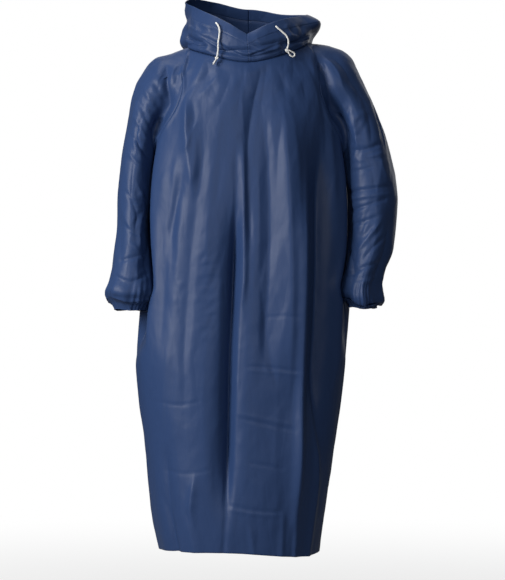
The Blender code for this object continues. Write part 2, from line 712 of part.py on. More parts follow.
def add_cloth(name, outer, normals, edges, loops, finish, collection):
    """A cloth wall from its outer points, held back from the seams on the named edges."""
    outer = outer + seam_shift(outer, normals, edges)
    mesh = wall_mesh(name, outer, outer - normals * WALL, loops)
    item = add_object(name, mesh, finish, collection)
    item.data.shade_smooth()
    item.data.set_sharp_from_angle(angle=math.radians(50))
    return item


# ---- cuffs -----------------------------------------------------------------------------------
CUFF_GATHERS = {"right": 15, "left": 13}
CUFF_RIPPLE = 0.0030
CUFF_END_Z = {"right": -0.600, "left": -0.592}


def add_cuff(side, collection):
    """The elastic casing at a sleeve's end, gathered in small even puckers."""
    z = np.linspace(CUFF_END_Z[side], SLEEVE_LEVELS[0] - 2 * SEAM_PULL, CUFF_ROWS + 1)
    edge_a, edge_b, front, back = smooth_table(SLEEVE_SECTIONS[side], z)
    turn = np.linspace(math.pi, -math.pi, CUFF_COLUMNS + 1)
    share = (np.arange(CUFF_ROWS + 1) / CUFF_ROWS)[:, None]
    ripple = CUFF_RIPPLE * (np.sin(CUFF_GATHERS[side] * turn) - 1) * np.sin(math.pi * (1 - share) * 0.75)
    wide = np.abs(edge_b - edge_a)[:, None] / 2 + ripple
    deep = (back - front)[:, None] / 2 + ripple
    x = (edge_a + edge_b)[:, None] / 2 + SIDES[side] * wide * np.cos(turn)
    y = (front + back)[:, None] / 2 - deep * np.sin(turn)
    outer = np.stack([x, y, z[:, None] + 0 * x], axis=-1)
    if SIDES[side] < 0:
        outer = outer[:, ::-1]
    normals = grid_normals([outer])[0]
    normals[-1, :, 2] = 0.0
    normals = unit(normals)
    add_cloth("cuff_" + side, outer, normals, (), [True] * len(outer), FILM, collection)


# ---- hood ------------------------------------------------------------------------------------
def hood_panel(side, neckline):
    """Outer points of half the hood, from the neckline to the face edge, column by column from
    the centre front to the centre back."""
    azimuth = np.degrees(np.arctan2(np.abs(neckline[:, 0]), -neckline[:, 1]))
    azimuth[0], azimuth[-1] = 0.0, 180.0
    stations = HOOD_STATIONS[side]
    behind = stations[-2]
    stations = (*stations, (360 - behind[0], -behind[1], *behind[2:]))
    x, y, z, low_out, low_rise, high_out, high_rise = smooth_table(stations, azimuth)
    edge = np.stack([x, y, z], axis=-1)
    outward = aim(np.radians(azimuth) * SIDES[side], np.zeros_like(azimuth))
    up = np.array([0.0, 0.0, 1.0])
    low = neckline + outward * low_out[:, None] + up * low_rise[:, None]
    high = edge + outward * high_out[:, None] + up * high_rise[:, None]
    fine = np.linspace(0, 1, 161)[:, None, None]
    curve = ((1 - fine) ** 3 * neckline + 3 * fine * (1 - fine) ** 2 * low
             + 3 * fine ** 2 * (1 - fine) * high + fine ** 3 * edge)
    step = np.linalg.norm(np.diff(curve, axis=0), axis=-1)
    reach = np.concatenate([np.zeros((1, step.shape[1])), np.cumsum(step, axis=0)])
    columns = []
    for c in range(len(neckline)):
        total = reach[-1, c]
        lower = np.linspace(HOOD_FOOT, total - CASING - 0.0015, HOOD_ROWS - 3)
        upper = total - np.array([CASING, CASING / 2, 0.0])
        at = np.concatenate([[0.0], lower, upper])
        columns.append(np.stack([np.interp(at, reach[:, c], curve[:, c, k]) for k in range(3)], -1))
    grid = np.stack(columns, axis=1)
    for _ in range(6):
        short = HOOD_CLEARANCE - shoulder_field(grid)
        push = np.clip(short, 0.0, None)[..., None] * gradient(shoulder_field, grid)
        grid[1:] += push[1:]
    return grid


def hood_lift(grid, side):
    """Slack folds of the hood's front, and the casing's thickness."""
    rows, columns = grid.shape[:2]
    azimuth = np.degrees(np.arctan2(grid[0, :, 0], -grid[0, :, 1]))[None, :]
    share = np.linspace(0, 1, rows)[:, None]
    lift = np.zeros((rows, columns))
    for centre, height, tilt, width, depth in HOOD_FOLDS:
        away = (azimuth - centre) / 30.0
        line = height + tilt * away
        lift -= depth * np.exp(-((share - line) / width) ** 2) * np.exp(-away ** 2)
    lift *= smoothstep(0.0, 0.15, share)
    lift[-3:] += CASING_RISE
    return lift


def halves_of_neckline(front, back, sleeves):
    """The neckline from the centre front round each side to the centre back, at the points that
    the hood's columns start from."""
    middle_front, middle_back = FRONT_COLUMNS // 2, BACK_COLUMNS // 2
    halves = {}
    for side in SIDES:
        if side == "right":
            ahead, behind = front[-1, middle_front::-PANEL_STEP], back[-1, :middle_back + 1:PANEL_STEP]
        else:
            ahead, behind = front[-1, middle_front::PANEL_STEP], back[-1, :middle_back - 1:-PANEL_STEP]
        strip = sleeves[side][-1, ::SLEEVE_STEP]
        halves[side] = np.concatenate([ahead, strip[1:], behind[1:]])
    return halves


# ---- cords -----------------------------------------------------------------------------------
def add_tube(name, points, diameter, finish, collection):
    """A cord as a bevelled open curve with closed ends."""
    curve = bpy.data.curves.new(name, "CURVE")
    curve.dimensions = "3D"
    curve.bevel_depth = diameter / 2
    curve.bevel_resolution = 2
    curve.use_fill_caps = True
    spline = curve.splines.new("POLY")
    spline.points.add(len(points) - 1)
    for node, point in zip(spline.points, points):
        node.co = (*point, 1.0)
    add_object(name, curve, finish, collection)


def cord_points(route):
    """Evenly spaced points on a smooth curve through a cord's route."""
    route = np.array(route)
    length = np.linalg.norm(np.diff(route, axis=0), axis=1).sum()
    count = int(length / (2.0 * CORD_DIAMETER)) + 2
    return smooth_path(route, np.linspace(0, 1, count))


def add_cord(side, collection):
    """A cord end, its knot, and the small loop that stands out of the knot."""
    knot, last = np.array(KNOTS[side]), np.array(CORD_ROUTES[side][-1])
    toward = (last - knot) / np.linalg.norm(last - knot)
    end = knot + toward * (KNOT_RADIUS + CORD_GAP)
    add_tube("drawcord_" + side, cord_points((*CORD_ROUTES[side], end)), CORD_DIAMETER,
             CORD_COTTON, collection)
    add_tube("cord_loop_" + side, cord_points(CORD_LOOPS[side]), CORD_DIAMETER,
             CORD_COTTON, collection)
    ball = bmesh.new()
    bmesh.ops.create_uvsphere(ball, u_segments=14, v_segments=9, radius=KNOT_RADIUS)
    mesh = bpy.data.meshes.new("cord_knot_" + side)
    ball.to_mesh(mesh)
    ball.free()
    mesh.shade_smooth()
    item = add_object("cord_knot_" + side, mesh, CORD_COTTON, collection)
    item.location = tuple(knot)


# ---- assembly --------------------------------------------------------------------------------
def clear_scene():
    for item in list(bpy.data.objects):
        bpy.data.objects.remove(item, do_unlink=True)


def make_coat(collection):
    front = body_panel("front", FRONT_COLUMNS)
    back = body_panel("back", BACK_COLUMNS)
    sleeves = {side: sleeve_panel(side) for side in SIDES}
    names = ["front", "back", "sleeve_right", "sleeve_left"]
    grids = [front, back[:, ::-1], sleeves["right"][:, ::-1], sleeves["left"]]
    normals = grid_normals(grids)
    lifts = [
        body_fold_height(grids[0]),
        body_fold_height(grids[1]),
        sleeve_fold_height(grids[2], "right"),
        sleeve_fold_height(grids[3], "left"),
    ]
    grids = [grid + normal * lift[..., None] for grid, normal, lift in zip(grids, normals, lifts)]
    normals = grid_normals(grids)
    for name, grid, normal in zip(names, grids, normals):
        if name.startswith("sleeve"):
            tube, strip = grid[:SLEEVE_ROWS], grid[SLEEVE_ROWS:]
            shift = seam_shift(strip, normal[SLEEVE_ROWS:], ("first_column", "last_column", "last_row"))
            shift[0] = 0.0
            outward = -1.0 if name.endswith("right") else 1.0
            shift[0, (0, -1), :] = (UNDERARM_PULL * outward, 0.0, -SEAM_PULL)
            outer = np.concatenate([tube, strip + shift])
            loops = [True] * (SLEEVE_ROWS + 1) + [False] * YOKE_ROWS
            add_cloth(name, outer, normal, (), loops, FILM, collection)
        else:
            corner = (SKIRT_ROWS, (0, -1))
            shift = seam_shift(grid, normal, ("first_column", "last_column", "last_row"))
            shift[corner] = (shift[SKIRT_ROWS - 1, (0, -1)] + shift[SKIRT_ROWS + 1, (0, -1)])
            loops = [False] * (SKIRT_ROWS + YOKE_ROWS + 1)
            add_cloth(name, grid + shift, normal, (), loops, FILM, collection)
    return front, back, sleeves


def make_hood(collection, front, back, sleeves):
    halves = halves_of_neckline(front, back, sleeves)
    grids = []
    for side in SIDES:
        grid = hood_panel(side, halves[side])
        grids.append(grid[:, ::-1] if side == "right" else grid)
    normals = grid_normals(grids)
    lifted = []
    for side, grid, normal in zip(SIDES, grids, normals):
        lifted.append(grid + normal * hood_lift(grid, side)[..., None])
    normals = grid_normals(lifted)
    for side, grid, normal in zip(SIDES, lifted, normals):
        add_cloth("hood_" + side, grid, normal, ("first_row", "first_column", "last_column"),
                  [False] * len(grid), HOOD_FILM, collection)


def main():
    clear_scene()
    collection = bpy.data.collections.new(COLLECTION)
    bpy.context.scene.collection.children.link(collection)
    front, back, sleeves = make_coat(collection)
    make_hood(collection, front, back, sleeves)
    for side in SIDES:
        add_cuff(side, collection)
        add_cord(side, collection)


main()
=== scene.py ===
import math

import bpy
import mathutils
import numpy as np
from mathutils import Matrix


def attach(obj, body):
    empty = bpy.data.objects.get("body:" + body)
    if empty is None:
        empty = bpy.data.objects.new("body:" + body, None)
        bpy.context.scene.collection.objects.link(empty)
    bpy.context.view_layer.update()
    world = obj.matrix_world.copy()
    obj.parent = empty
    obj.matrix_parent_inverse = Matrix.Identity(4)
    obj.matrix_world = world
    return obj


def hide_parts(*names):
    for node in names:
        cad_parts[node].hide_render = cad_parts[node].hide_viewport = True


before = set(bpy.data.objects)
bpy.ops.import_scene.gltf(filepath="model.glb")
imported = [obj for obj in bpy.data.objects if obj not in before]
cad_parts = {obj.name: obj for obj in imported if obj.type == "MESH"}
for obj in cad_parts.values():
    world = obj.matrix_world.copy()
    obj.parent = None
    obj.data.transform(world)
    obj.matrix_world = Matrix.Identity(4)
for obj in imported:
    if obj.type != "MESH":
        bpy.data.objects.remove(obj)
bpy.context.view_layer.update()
scene = bpy.context.scene

# Metres, +Z up, the front towards -Y and the wearer's right side at -X.

# The camera of the photograph: level, 5 m before the coat.
cameraValues = {"place": (0.008, -5.0, -0.552), "seen": 1.334, "sensor": 36.0}
bpy.ops.object.camera_add(location=cameraValues["place"], rotation=(math.pi / 2, 0, 0))
camera = bpy.context.object
camera.name = "camera"
camera.data.sensor_width = cameraValues["sensor"]
camera.data.lens = cameraValues["sensor"] * -cameraValues["place"][1] / cameraValues["seen"]
camera.data.clip_end = 50
scene.camera = camera


# Rows of a table in millimetres, each of so many numbers, as metres. first is the scale of the
# first number, 1 where that is an angle.
def rowsOf(width, numbers, first=1000):
    rows = [numbers[at:at + width] for at in range(0, len(numbers), width)]
    return [(round(row[0] / first, 7), *(round(number / 1000, 7) for number in row[1:])) for row in rows]


# Main form, shared by all pieces
sleeveGap = 0.0075            # free space between a sleeve and the coat's side
foldAgree = 0.7               # two pieces whose normals agree less than this meet in a sharp fold
chestZ = -0.250               # height of the underarm points and of the chest centre
shoulderBlend = 0.045         # fillet between the body and the round of a shoulder
armBlend = 0.002              # the same where a sleeve is free of the body
pressBlend = 0.012            # fillet of the hollow that a sleeve presses into the coat's side
sleeveReach = 0.09            # how far a sleeve's panel goes into the shoulder
sides = {"right": -1.0, "left": 1.0}

# Grid sizes: columns across a panel, rows up it.
frontColumns = 80
backColumns = 60
skirtRows = 70
yokeRows = 30
sleeveColumns = 60
sleeveLevels = (-0.566, -0.5595, -0.548, -0.530)   # closer rows where a sleeve turns to its cuff
sleeveRows = 34

# Level sections of the coat round the body, before the sleeves press in.
# height, right edge, left edge, front, back
bodySections = rowsOf(5, (
    -1160, -202, 160, -186, 176,
    -1080, -220, 172, -185, 175,
    -990, -231, 186, -183, 172,
    -900, -239, 200, -181, 170,
    -800, -254, 214, -178, 167,
    -700, -263, 224, -175, 160,
    -580, -256, 236, -170, 152,
    -400, -246, 242, -163, 143,
    -250, -232, 230, -153, 134,
    -150, -208, 208, -146, 124,
    -80, -180, 184, -136, 112,
    -30, -148, 154, -120, 100,
    10, -118, 124, -95, 85,
    50, -60, 65, -50, 50,
))
bodyPower = 2.4              # roundness of those sections: 2 is an ellipse

# Level sections of each sleeve: height, inner edge, outer edge, front, back
sleeveSections = {
    "right": rowsOf(5, (
        -40, -140, -226, -60, 64,
        -70, -152, -253, -74, 76,
        -110, -172, -268, -82, 78,
        -160, -194, -277, -88, 74,
        -250, -216, -292, -92, 62,
        -345, -226, -300, -98, 50,
        -414, -225, -302, -104, 44,
        -483, -216, -311, -112, 36,
        -530, -209, -318, -118, 30,
        -553, -209, -324, -119, 26,
        -566, -215, -319, -112, 18,
        -605, -226, -312, -102, 8,
    )),
    "left": rowsOf(5, (
        -40, 140, 238, -60, 64,
        -70, 154, 258, -74, 76,
        -110, 174, 279, -82, 78,
        -160, 193, 300, -88, 74,
        -250, 214, 326, -92, 62,
        -330, 222, 339, -98, 52,
        -414, 224, 335, -104, 44,
        -470, 221, 326, -110, 38,
        -515, 213, 307, -114, 32,
        -545, 206, 303, -117, 28,
        -556, 207, 307, -117, 24,
        -566, 213, 303, -110, 18,
        -600, 218, 294, -100, 6,
    )),
}

# The round of each shoulder: centre x, y, z and radius.
shoulders = {
    "right": (-0.172, 0.000, -0.074, 0.062),
    "left": (0.180, 0.000, -0.060, 0.062),
}

# The coat springs out again below the sleeve's end at this height, at this slope.
sleeveEndZ = -0.625
sleeveEndEase = 0.20

# Height of the hem by azimuth: 0 is the centre front, 90 the wearer's left side.
hem = ((-90, -1.143), (0, -1.136), (40, -1.146), (90, -1.148), (180, -1.150), (270, -1.143))

# Raglan seams from the neckline down to the crease of the arm: x, y, z.
raglans = {
    ("right", "front"): rowsOf(3, (
        -138, -42, 2, -148, -85, -57, -165, -112, -95,
        -180, -112, -140, -205, -85, -195, -214, -50, -230,
    )),
    ("right", "back"): rowsOf(3, (
        -128, 42, 8, -150, 78, -50, -170, 98, -100,
        -190, 95, -150, -205, 70, -200, -212, 40, -232,
    )),
    ("left", "front"): rowsOf(3, (
        136, -40, 16, 155, -78, -30, 178, -105, -70,
        196, -108, -125, 208, -85, -190, 214, -50, -230,
    )),
    ("left", "back"): rowsOf(3, (
        128, 42, 18, 152, 78, -45, 172, 98, -100,
        190, 95, -150, 205, 70, -200, 212, 40, -232,
    )),
}
neckFront = (0.0, -0.125, -0.041)
neckBack = (0.0, 0.092, 0.012)

# Where a sleeve's rows are fanned from, neck to underarm: share of the way, distance from the
# centre line, height, then the distance and height of the point they point at.
sleeveFans = (
    (0.00, 0.253, -0.250, 0.330, -0.250),
    (0.30, 0.235, -0.170, 0.330, -0.130),
    (0.55, 0.200, -0.120, 0.270, 0.010),
    (0.80, 0.150, -0.105, 0.175, 0.040),
    (1.00, 0.115, -0.105, 0.140, 0.030),
)

# Folds that run down the panels: x and z at the top, middle and foot, half width and depth. A
# negative depth is a ridge.
bodyFolds = {
    "front": rowsOf(8, (
        22, -74, 0, -200, 5, -480, 13, 6,
        -28, -330, -44, -660, -55, -1080, 17, 36,
        -16, -200, -11, -420, -20, -640, 11, -3,
        -136, -240, -180, -434, -200, -700, 20, 6,
        -95, -200, -129, -460, -150, -740, 20, 5,
        38, -130, 46, -440, 29, -760, 18, 7,
        76, -110, 92, -460, 91, -800, 28, -14,
        130, -260, 121, -680, 98, -1130, 16, -12,
        162, -160, 162, -520, 148, -950, 32, 30,
        147, -740, 152, -970, 128, -1145, 10, -8,
        -141, -110, -138, -200, -126, -340, 16, -9,
        -190, -900, -180, -1030, -165, -1145, 12, 8,
        -120, -960, -128, -1060, -114, -1145, 10, -7,
    )),
    "back": rowsOf(8, (
        10, -230, 20, -600, 30, -1100, 22, 20,
        -60, -160, -75, -500, -85, -1000, 20, -12,
        85, -150, 95, -480, 90, -1050, 22, -13,
        -120, -280, -140, -640, -130, -1120, 18, 18,
        140, -260, 150, -600, 125, -1100, 18, 16,
        -20, -500, -30, -800, -35, -1145, 18, -10,
    )),
}

# Broad creases across the sleeves: height at the outer edge, height gained towards the front
# inner edge, half width, depth.
sleeveFolds = {
    "right": rowsOf(4, (
        -105, -70, 15, 7, -190, 70, 13, 6,
        -290, -60, 16, 5, -380, 80, 17, 5,
        -450, -60, 15, 6, -500, 40, 13, 7,
        -530, -20, 10, 6,
    )),
    "left": rowsOf(4, (
        -140, -80, 18, 6, -235, 50, 13, 5,
        -325, -30, 11, 7, -368, -50, 12, 6,
        -440, -80, 15, 7, -505, -50, 14, 8,
        -535, 20, 10, 6,
    )),
}

# Rise softly from 0 at low to 1 at high.
def smoothstep(low, high, value):
    share = np.clip((np.asarray(value, float) - low) / (high - low), 0.0, 1.0)
    return share * share * (3.0 - 2.0 * share)


# Smooth values of a table's columns; its first column is the running coordinate.
def smoothTable(rows, at):
    table = np.array(sorted(rows), float)
    knots, values = table[:, 0], table[:, 1:]
    slopes = np.gradient(values, knots, axis=0)
    at = np.clip(np.asarray(at, float), knots[0], knots[-1])
    cell = np.clip(np.searchsorted(knots, at) - 1, 0, len(knots) - 2)
    span = knots[cell + 1] - knots[cell]
    t = ((at - knots[cell]) / span)[..., None]
    span = span[..., None]
    start = (1 + 2 * t) * (1 - t) ** 2 * values[cell] + t * (1 - t) ** 2 * span * slopes[cell]
    end = t ** 2 * (3 - 2 * t) * values[cell + 1] + t ** 2 * (t - 1) * span * slopes[cell + 1]
    return np.moveaxis(start + end, -1, 0)


# Points on a smooth curve through a few points, by share of its length.
def smoothPath(points, share):
    points = np.array(points, float)
    steps = np.linalg.norm(np.diff(points, axis=0), axis=1)
    reach = np.concatenate(([0.0], np.cumsum(steps))) / steps.sum()
    rows = [(r, *p) for r, p in zip(reach, points)]
    return np.stack(smoothTable(rows, share), axis=-1)


# The same directions at length 1.
def unit(vectors):
    return vectors / np.linalg.norm(vectors, axis=-1, keepdims=True)


# Rows or columns from the nearer edge of a grid's side, and from its last one.
def fromEdges(count):
    return np.minimum(np.arange(count), np.arange(count)[::-1])


def fromLast(count):
    return np.arange(count)[::-1]


# Union of two fields with a soft fillet.
def join(a, b, blend):
    h = np.clip(0.5 + 0.5 * (b - a) / blend, 0.0, 1.0)
    return b + (a - b) * h - blend * h * (1.0 - h)


# Middle, half width and half depth of level sections.
def sectionAt(table, z):
    edgeA, edgeB, front, back = smoothTable(table, z)
    return (edgeA + edgeB) / 2, (front + back) / 2, np.abs(edgeB - edgeA) / 2, (back - front) / 2


# Distance-like field of a stack of level sections.
def sectionField(points, table, power):
    x, y, wide, deep = sectionAt(table, points[..., 2])
    across = np.abs(points[..., 0] - x) / wide
    along = np.abs(points[..., 1] - y) / deep
    return ((across ** power + along ** power) ** (1 / power) - 1) * np.minimum(wide, deep)


# One arm's sleeve: a stack of sections under the round of the shoulder.
def sleeveField(points, side):
    x, y, z, radius = shoulders[side]
    ball = np.linalg.norm(points - (x, y, z), axis=-1) - radius
    tube = sectionField(points, sleeveSections[side], 2.0)
    tube = np.maximum(tube, points[..., 2] - z)
    below = (sleeveEndZ - points[..., 2]) * sleeveEndEase
    return np.maximum(join(ball, tube, 0.02), below)


# The cloth that lies from shoulder to shoulder.
def yokeField(points):
    start = np.array(shoulders["right"])
    end = np.array(shoulders["left"])
    axis = end[:3] - start[:3]
    share = np.clip((points - start[:3]) @ axis / (axis @ axis), 0.0, 1.0)[..., None]
    middle = start[:3] + share * axis
    radius = (start[3] + share * (end[3] - start[3]))[..., 0]
    body = sectionField(points, bodySections, bodyPower)
    return join(body, np.linalg.norm(points - middle, axis=-1) - radius, shoulderBlend)


# Everything that the hood lies on.
def shoulderField(points):
    field = yokeField(points)
    for side in sides:
        field = join(field, sleeveField(points, side), shoulderBlend)
    return field


# Unit direction in which a field grows.
def gradient(field, points, step=0.0005):
    slopes = []
    for axis in np.eye(3):
        slopes.append(field(points + axis * step) - field(points - axis * step))
    return unit(np.stack(slopes, axis=-1))


# 0 over the shoulder, 1 from the depth of the armhole down, where the sleeve is free.
def armholeDepth(points):
    return smoothstep(-0.085, -0.185, points[..., 2])


# The front and back panels, pressed in by the sleeves below the shoulder.
def coatField(points, gap=sleeveGap):
    free = armholeDepth(points)
    field = yokeField(points)
    arms = [sleeveField(points, side) for side in sides]
    for arm in arms:
        field = join(field, arm, shoulderBlend * (1 - free) + armBlend)
    for arm in arms:
        field = -join(-field, arm - gap * free + sleeveReach * (1 - free), pressBlend)
    return field


# A sleeve panel: joined to the shoulder above, a free tube below.
def armField(points, side):
    free = armholeDepth(points)
    arm = sleeveField(points, side)
    field = join(yokeField(points), arm, shoulderBlend * (1 - free) + armBlend)
    return np.maximum(field, arm - sleeveReach * (1 - free))


# First crossing from inside to outside of a field along each ray.
def cast(field, origins, directions, reach=0.5, steps=60, halvings=24):
    directions = unit(directions)
    origins = np.broadcast_to(origins, directions.shape)
    low = np.zeros(directions.shape[:-1])
    high = np.full(directions.shape[:-1], reach)
    found = np.zeros(directions.shape[:-1], bool)
    for step in range(1, steps + 1):
        distance = reach * step / steps
        outside = field(origins + directions * distance) > 0
        first = outside & ~found
        high[first] = distance
        low[~found & ~outside] = distance
        found |= outside
    for turn in range(halvings):
        middle = (low + high) / 2
        outside = field(origins + directions * middle[..., None]) > 0
        high = np.where(outside, middle, high)
        low = np.where(outside, low, middle)
    return origins + directions * low[..., None]


# Centre of the coat's level section.
def axisPoint(z):
    x, y = sectionAt(bodySections, z)[:2]
    return np.stack([x, y, np.asarray(z, float)], axis=-1)


chest = axisPoint(chestZ)


# Unit direction, azimuth 0 towards the front and 90 towards the wearer's left.
def aim(azimuth, elevation):
    return np.stack([
        np.sin(azimuth) * np.cos(elevation),
        -np.cos(azimuth) * np.cos(elevation),
        np.sin(elevation),
    ], axis=-1)


# Azimuth and elevation of directions.
def anglesOf(directions):
    azimuth = np.arctan2(directions[..., 0], -directions[..., 1])
    level = np.hypot(directions[..., 0], directions[..., 1])
    return azimuth, np.arctan2(directions[..., 2], level)


# Seam points from the underarm up to the neckline, one for each row of the yoke.
def raglanSeam(side, face):
    guide = list(raglans[side, face])
    guide.append(tuple(chest + np.array([sides[side] * 0.2, 0.0, 0.0])))
    path = smoothPath(guide[::-1], np.linspace(0, 1, yokeRows + 1))
    return cast(lambda p: coatField(p, sleeveGap / 2), chest, path - chest)


# Rows of a body panel from underarm height to the neckline, right edge to left edge.
def yokeGrid(face, columns):
    start, end = raglanSeam("right", face), raglanSeam("left", face)
    azimuthA, elevationA = anglesOf(start - chest)
    azimuthB, elevationB = anglesOf(end - chest)
    neck = np.array(neckFront if face == "front" else neckBack)
    neckElevation = anglesOf(neck - chest)[1]
    if face == "back":
        azimuthA = azimuthA + 2 * math.pi
    across = np.linspace(-1, 1, columns + 1)
    share = np.linspace(0, 1, yokeRows + 1)[:, None]
    azimuth = azimuthA[:, None] * (1 - across) / 2 + azimuthB[:, None] * (1 + across) / 2
    edge = np.where(across < 0, elevationA[:, None], elevationB[:, None])
    middle = share * neckElevation
    elevation = middle + (edge - middle) * np.abs(across) ** 2.6
    rows = cast(coatField, chest, aim(azimuth, elevation))
    rows[:, 0], rows[:, -1] = start, end
    return rows


# Rows of a body panel from the hem to just under the underarm.
def skirtGrid(face, columns):
    start, end = (-90.0, 90.0) if face == "front" else (270.0, 90.0)
    azimuth = np.linspace(start, end, columns + 1)
    hemline = smoothTable(hem, azimuth)[0]
    share = (np.arange(skirtRows) / skirtRows)[:, None]
    z = hemline * (1 - share) + chestZ * share
    directions = aim(np.radians(azimuth), np.zeros_like(azimuth))
    directions = np.broadcast_to(directions, (*z.shape, 3))
    return cast(coatField, axisPoint(z), directions)


# Outer points of the front or back, row by row from the hem to the neckline.
def bodyPanel(face, columns):
    return np.concatenate([skirtGrid(face, columns), yokeGrid(face, columns)])


# Outer points of a sleeve: a closed tube from the cuff to the underarm, then a strip that narrows
# to the neckline. Every row runs from the front seam round the outside to the back.
def sleevePanel(side):
    sign = sides[side]
    front, back = raglanSeam(side, "front"), raglanSeam(side, "back")
    share = np.linspace(0, 1, yokeRows + 1)
    out, height, aimOut, aimHeight = smoothTable(sleeveFans, share)
    level = np.full_like(out, chest[1])
    origins = np.stack([sign * out, level, height], axis=-1)
    ahead = unit(np.stack([sign * aimOut, level, aimHeight], axis=-1) - origins)
    forward = np.broadcast_to(np.array([0.0, -1.0, 0.0]), ahead.shape)
    along = np.cross(ahead, forward)
    wide, deep = sectionAt(sleeveSections[side], chestZ)[2:]
    flatness = 1 - (1 - share) * (1 - wide / deep)

    def localAngles(points):
        offset = points - origins
        a, b, c = [(offset * axis).sum(-1) for axis in (ahead, forward, along)]
        return np.arctan2(b, a / flatness), np.arctan2(c, np.hypot(a, b))

    turnA, tiltA = localAngles(front)
    turnB, tiltB = localAngles(back)
    turnA[0], turnB[0] = math.pi, -math.pi
    across = np.linspace(0, 1, sleeveColumns + 1)
    turn = turnA[:, None] * (1 - across) + turnB[:, None] * across
    tilt = (tiltA[:, None] * np.clip(1 - 2 * across, 0, 1) ** 1.5
            + tiltB[:, None] * np.clip(2 * across - 1, 0, 1) ** 1.5)
    directions = unit((flatness[:, None] * np.cos(turn))[..., None] * ahead[:, None]
                      + np.sin(turn)[..., None] * forward[:, None])
    directions = np.cos(tilt)[..., None] * directions + np.sin(tilt)[..., None] * along[:, None]
    strip = cast(lambda p: armField(p, side), origins[:, None] + 0 * directions, directions)
    strip[:, 0], strip[:, -1] = front, back

    even = np.linspace(sleeveLevels[-1], chestZ, sleeveRows - len(sleeveLevels) + 2)[1:-1]
    z = np.concatenate([sleeveLevels, even])
    x, y, wide, deep = sectionAt(sleeveSections[side], z)
    centres = np.stack([x, y, z], axis=-1)
    turn = np.linspace(math.pi, -math.pi, sleeveColumns + 1)
    wide, deep = wide[:, None], deep[:, None]
    directions = np.stack([sign * wide * np.cos(turn), -deep * np.sin(turn), 0 * wide * turn], axis=-1)
    tube = cast(lambda p: sleeveField(p, side), centres[:, None] + 0 * directions, directions)
    tube[:, -1] = tube[:, 0]
    return np.concatenate([tube, strip])


# How far the folds lift the cloth of the panels at each point.
def bodyFoldHeight(points):
    x, y, z = np.moveaxis(points, -1, 0)
    facing = axisPoint(z)[..., 1] - y
    lift = np.zeros_like(x)
    folds = [(facing, row) for row in bodyFolds["front"]] + [(-facing, row) for row in bodyFolds["back"]]
    for toward, (x0, z0, x1, z1, x2, z2, width, depth) in folds:
        path = smoothTable(((z2, x2), (z1, x1), (z0, x0)), z)[0]
        length = z0 - z2
        ends = smoothstep(z0 + 0.02, z0 - 0.25 * length, z)
        if z2 > hem[0][1] + 0.04:
            ends = ends * smoothstep(z2 - 0.02, z2 + 0.25 * length, z)
        ends = ends * smoothstep(0.0, 0.05, toward)
        lift -= depth * ends * np.exp(-np.abs((x - path) / width) ** 1.3)
    near = np.minimum(*[sleeveField(points, side) for side in sides])
    return lift * smoothstep(sleeveGap, 0.035, near)


# Where points lie in a sleeve's level section: across is 1 at the outer edge, along 1 in front.
def inSleeve(points, side):
    x, y, wide, deep = sectionAt(sleeveSections[side], points[..., 2])
    return (points[..., 0] - x) / wide * sides[side], (y - points[..., 1]) / deep


# How far the broad creases lift the cloth of a sleeve at each point.
def sleeveFoldHeight(points, side):
    z = points[..., 2]
    across, along = inSleeve(points, side)
    inside = smoothstep(-0.85, -0.2, across) * (1 - 0.6 * smoothstep(0.6, 1.0, across))
    lift = np.zeros_like(z)
    for height, gain, width, depth in sleeveFolds[side]:
        centre = height + gain * (1 - across) / 2 * np.sign(along + 0.3)
        lift -= depth * np.exp(-((z - centre) / width) ** 2) * inside
    return lift * smoothstep(-0.02, -0.10, z) * smoothstep(sleeveLevels[0], sleeveLevels[0] + 0.02, z)


# Outward normals of grids, shared where they meet at seams. Where cloth turns back on itself, as
# at the top of an armpit, each grid leans towards its own.
def gridNormals(grids):
    shared = {}
    keyed = []
    for grid in grids:
        normals = np.zeros((*grid.shape[:2], 4))
        a, b = grid[:-1, :-1], grid[:-1, 1:]
        c, d = grid[1:, 1:], grid[1:, :-1]
        face = np.cross(c - a, d - b)
        face = np.concatenate([face, np.linalg.norm(face, axis=-1, keepdims=True)], axis=-1)
        for rows, columns in ((0, 0), (0, 1), (1, 1), (1, 0)):
            height, width = face.shape[:2]
            normals[rows:rows + height, columns:columns + width] += face
        keys = [tuple(k) for k in np.round(grid.reshape(-1, 3) * 1e6).astype(int)]
        own = {}
        for key, normal in zip(keys, normals.reshape(-1, 4)):
            own[key] = own.get(key, 0) + normal
            shared[key] = shared.get(key, 0) + normal
        keyed.append((keys, own))
    out = []
    for grid, (keys, own) in zip(grids, keyed):
        normal = np.array([shared[k] for k in keys])
        leaning = unit(np.array([own[k] for k in keys])[:, :3])
        normal, area = normal[:, :3], normal[:, 3:]
        folded = np.clip(1.0 - 2.0 * np.linalg.norm(normal, axis=-1, keepdims=True) / area, 0.0, 1.0)
        down = np.array([0.0, 0.0, -1.0])
        normal = unit(normal + down * folded * area)
        agree = (normal * leaning).sum(-1, keepdims=True)
        normal = unit(normal + leaning * np.clip(3.0 - agree / foldAgree * 3.0, 0.0, 3.0))
        out.append(normal.reshape(grid.shape))
    return out


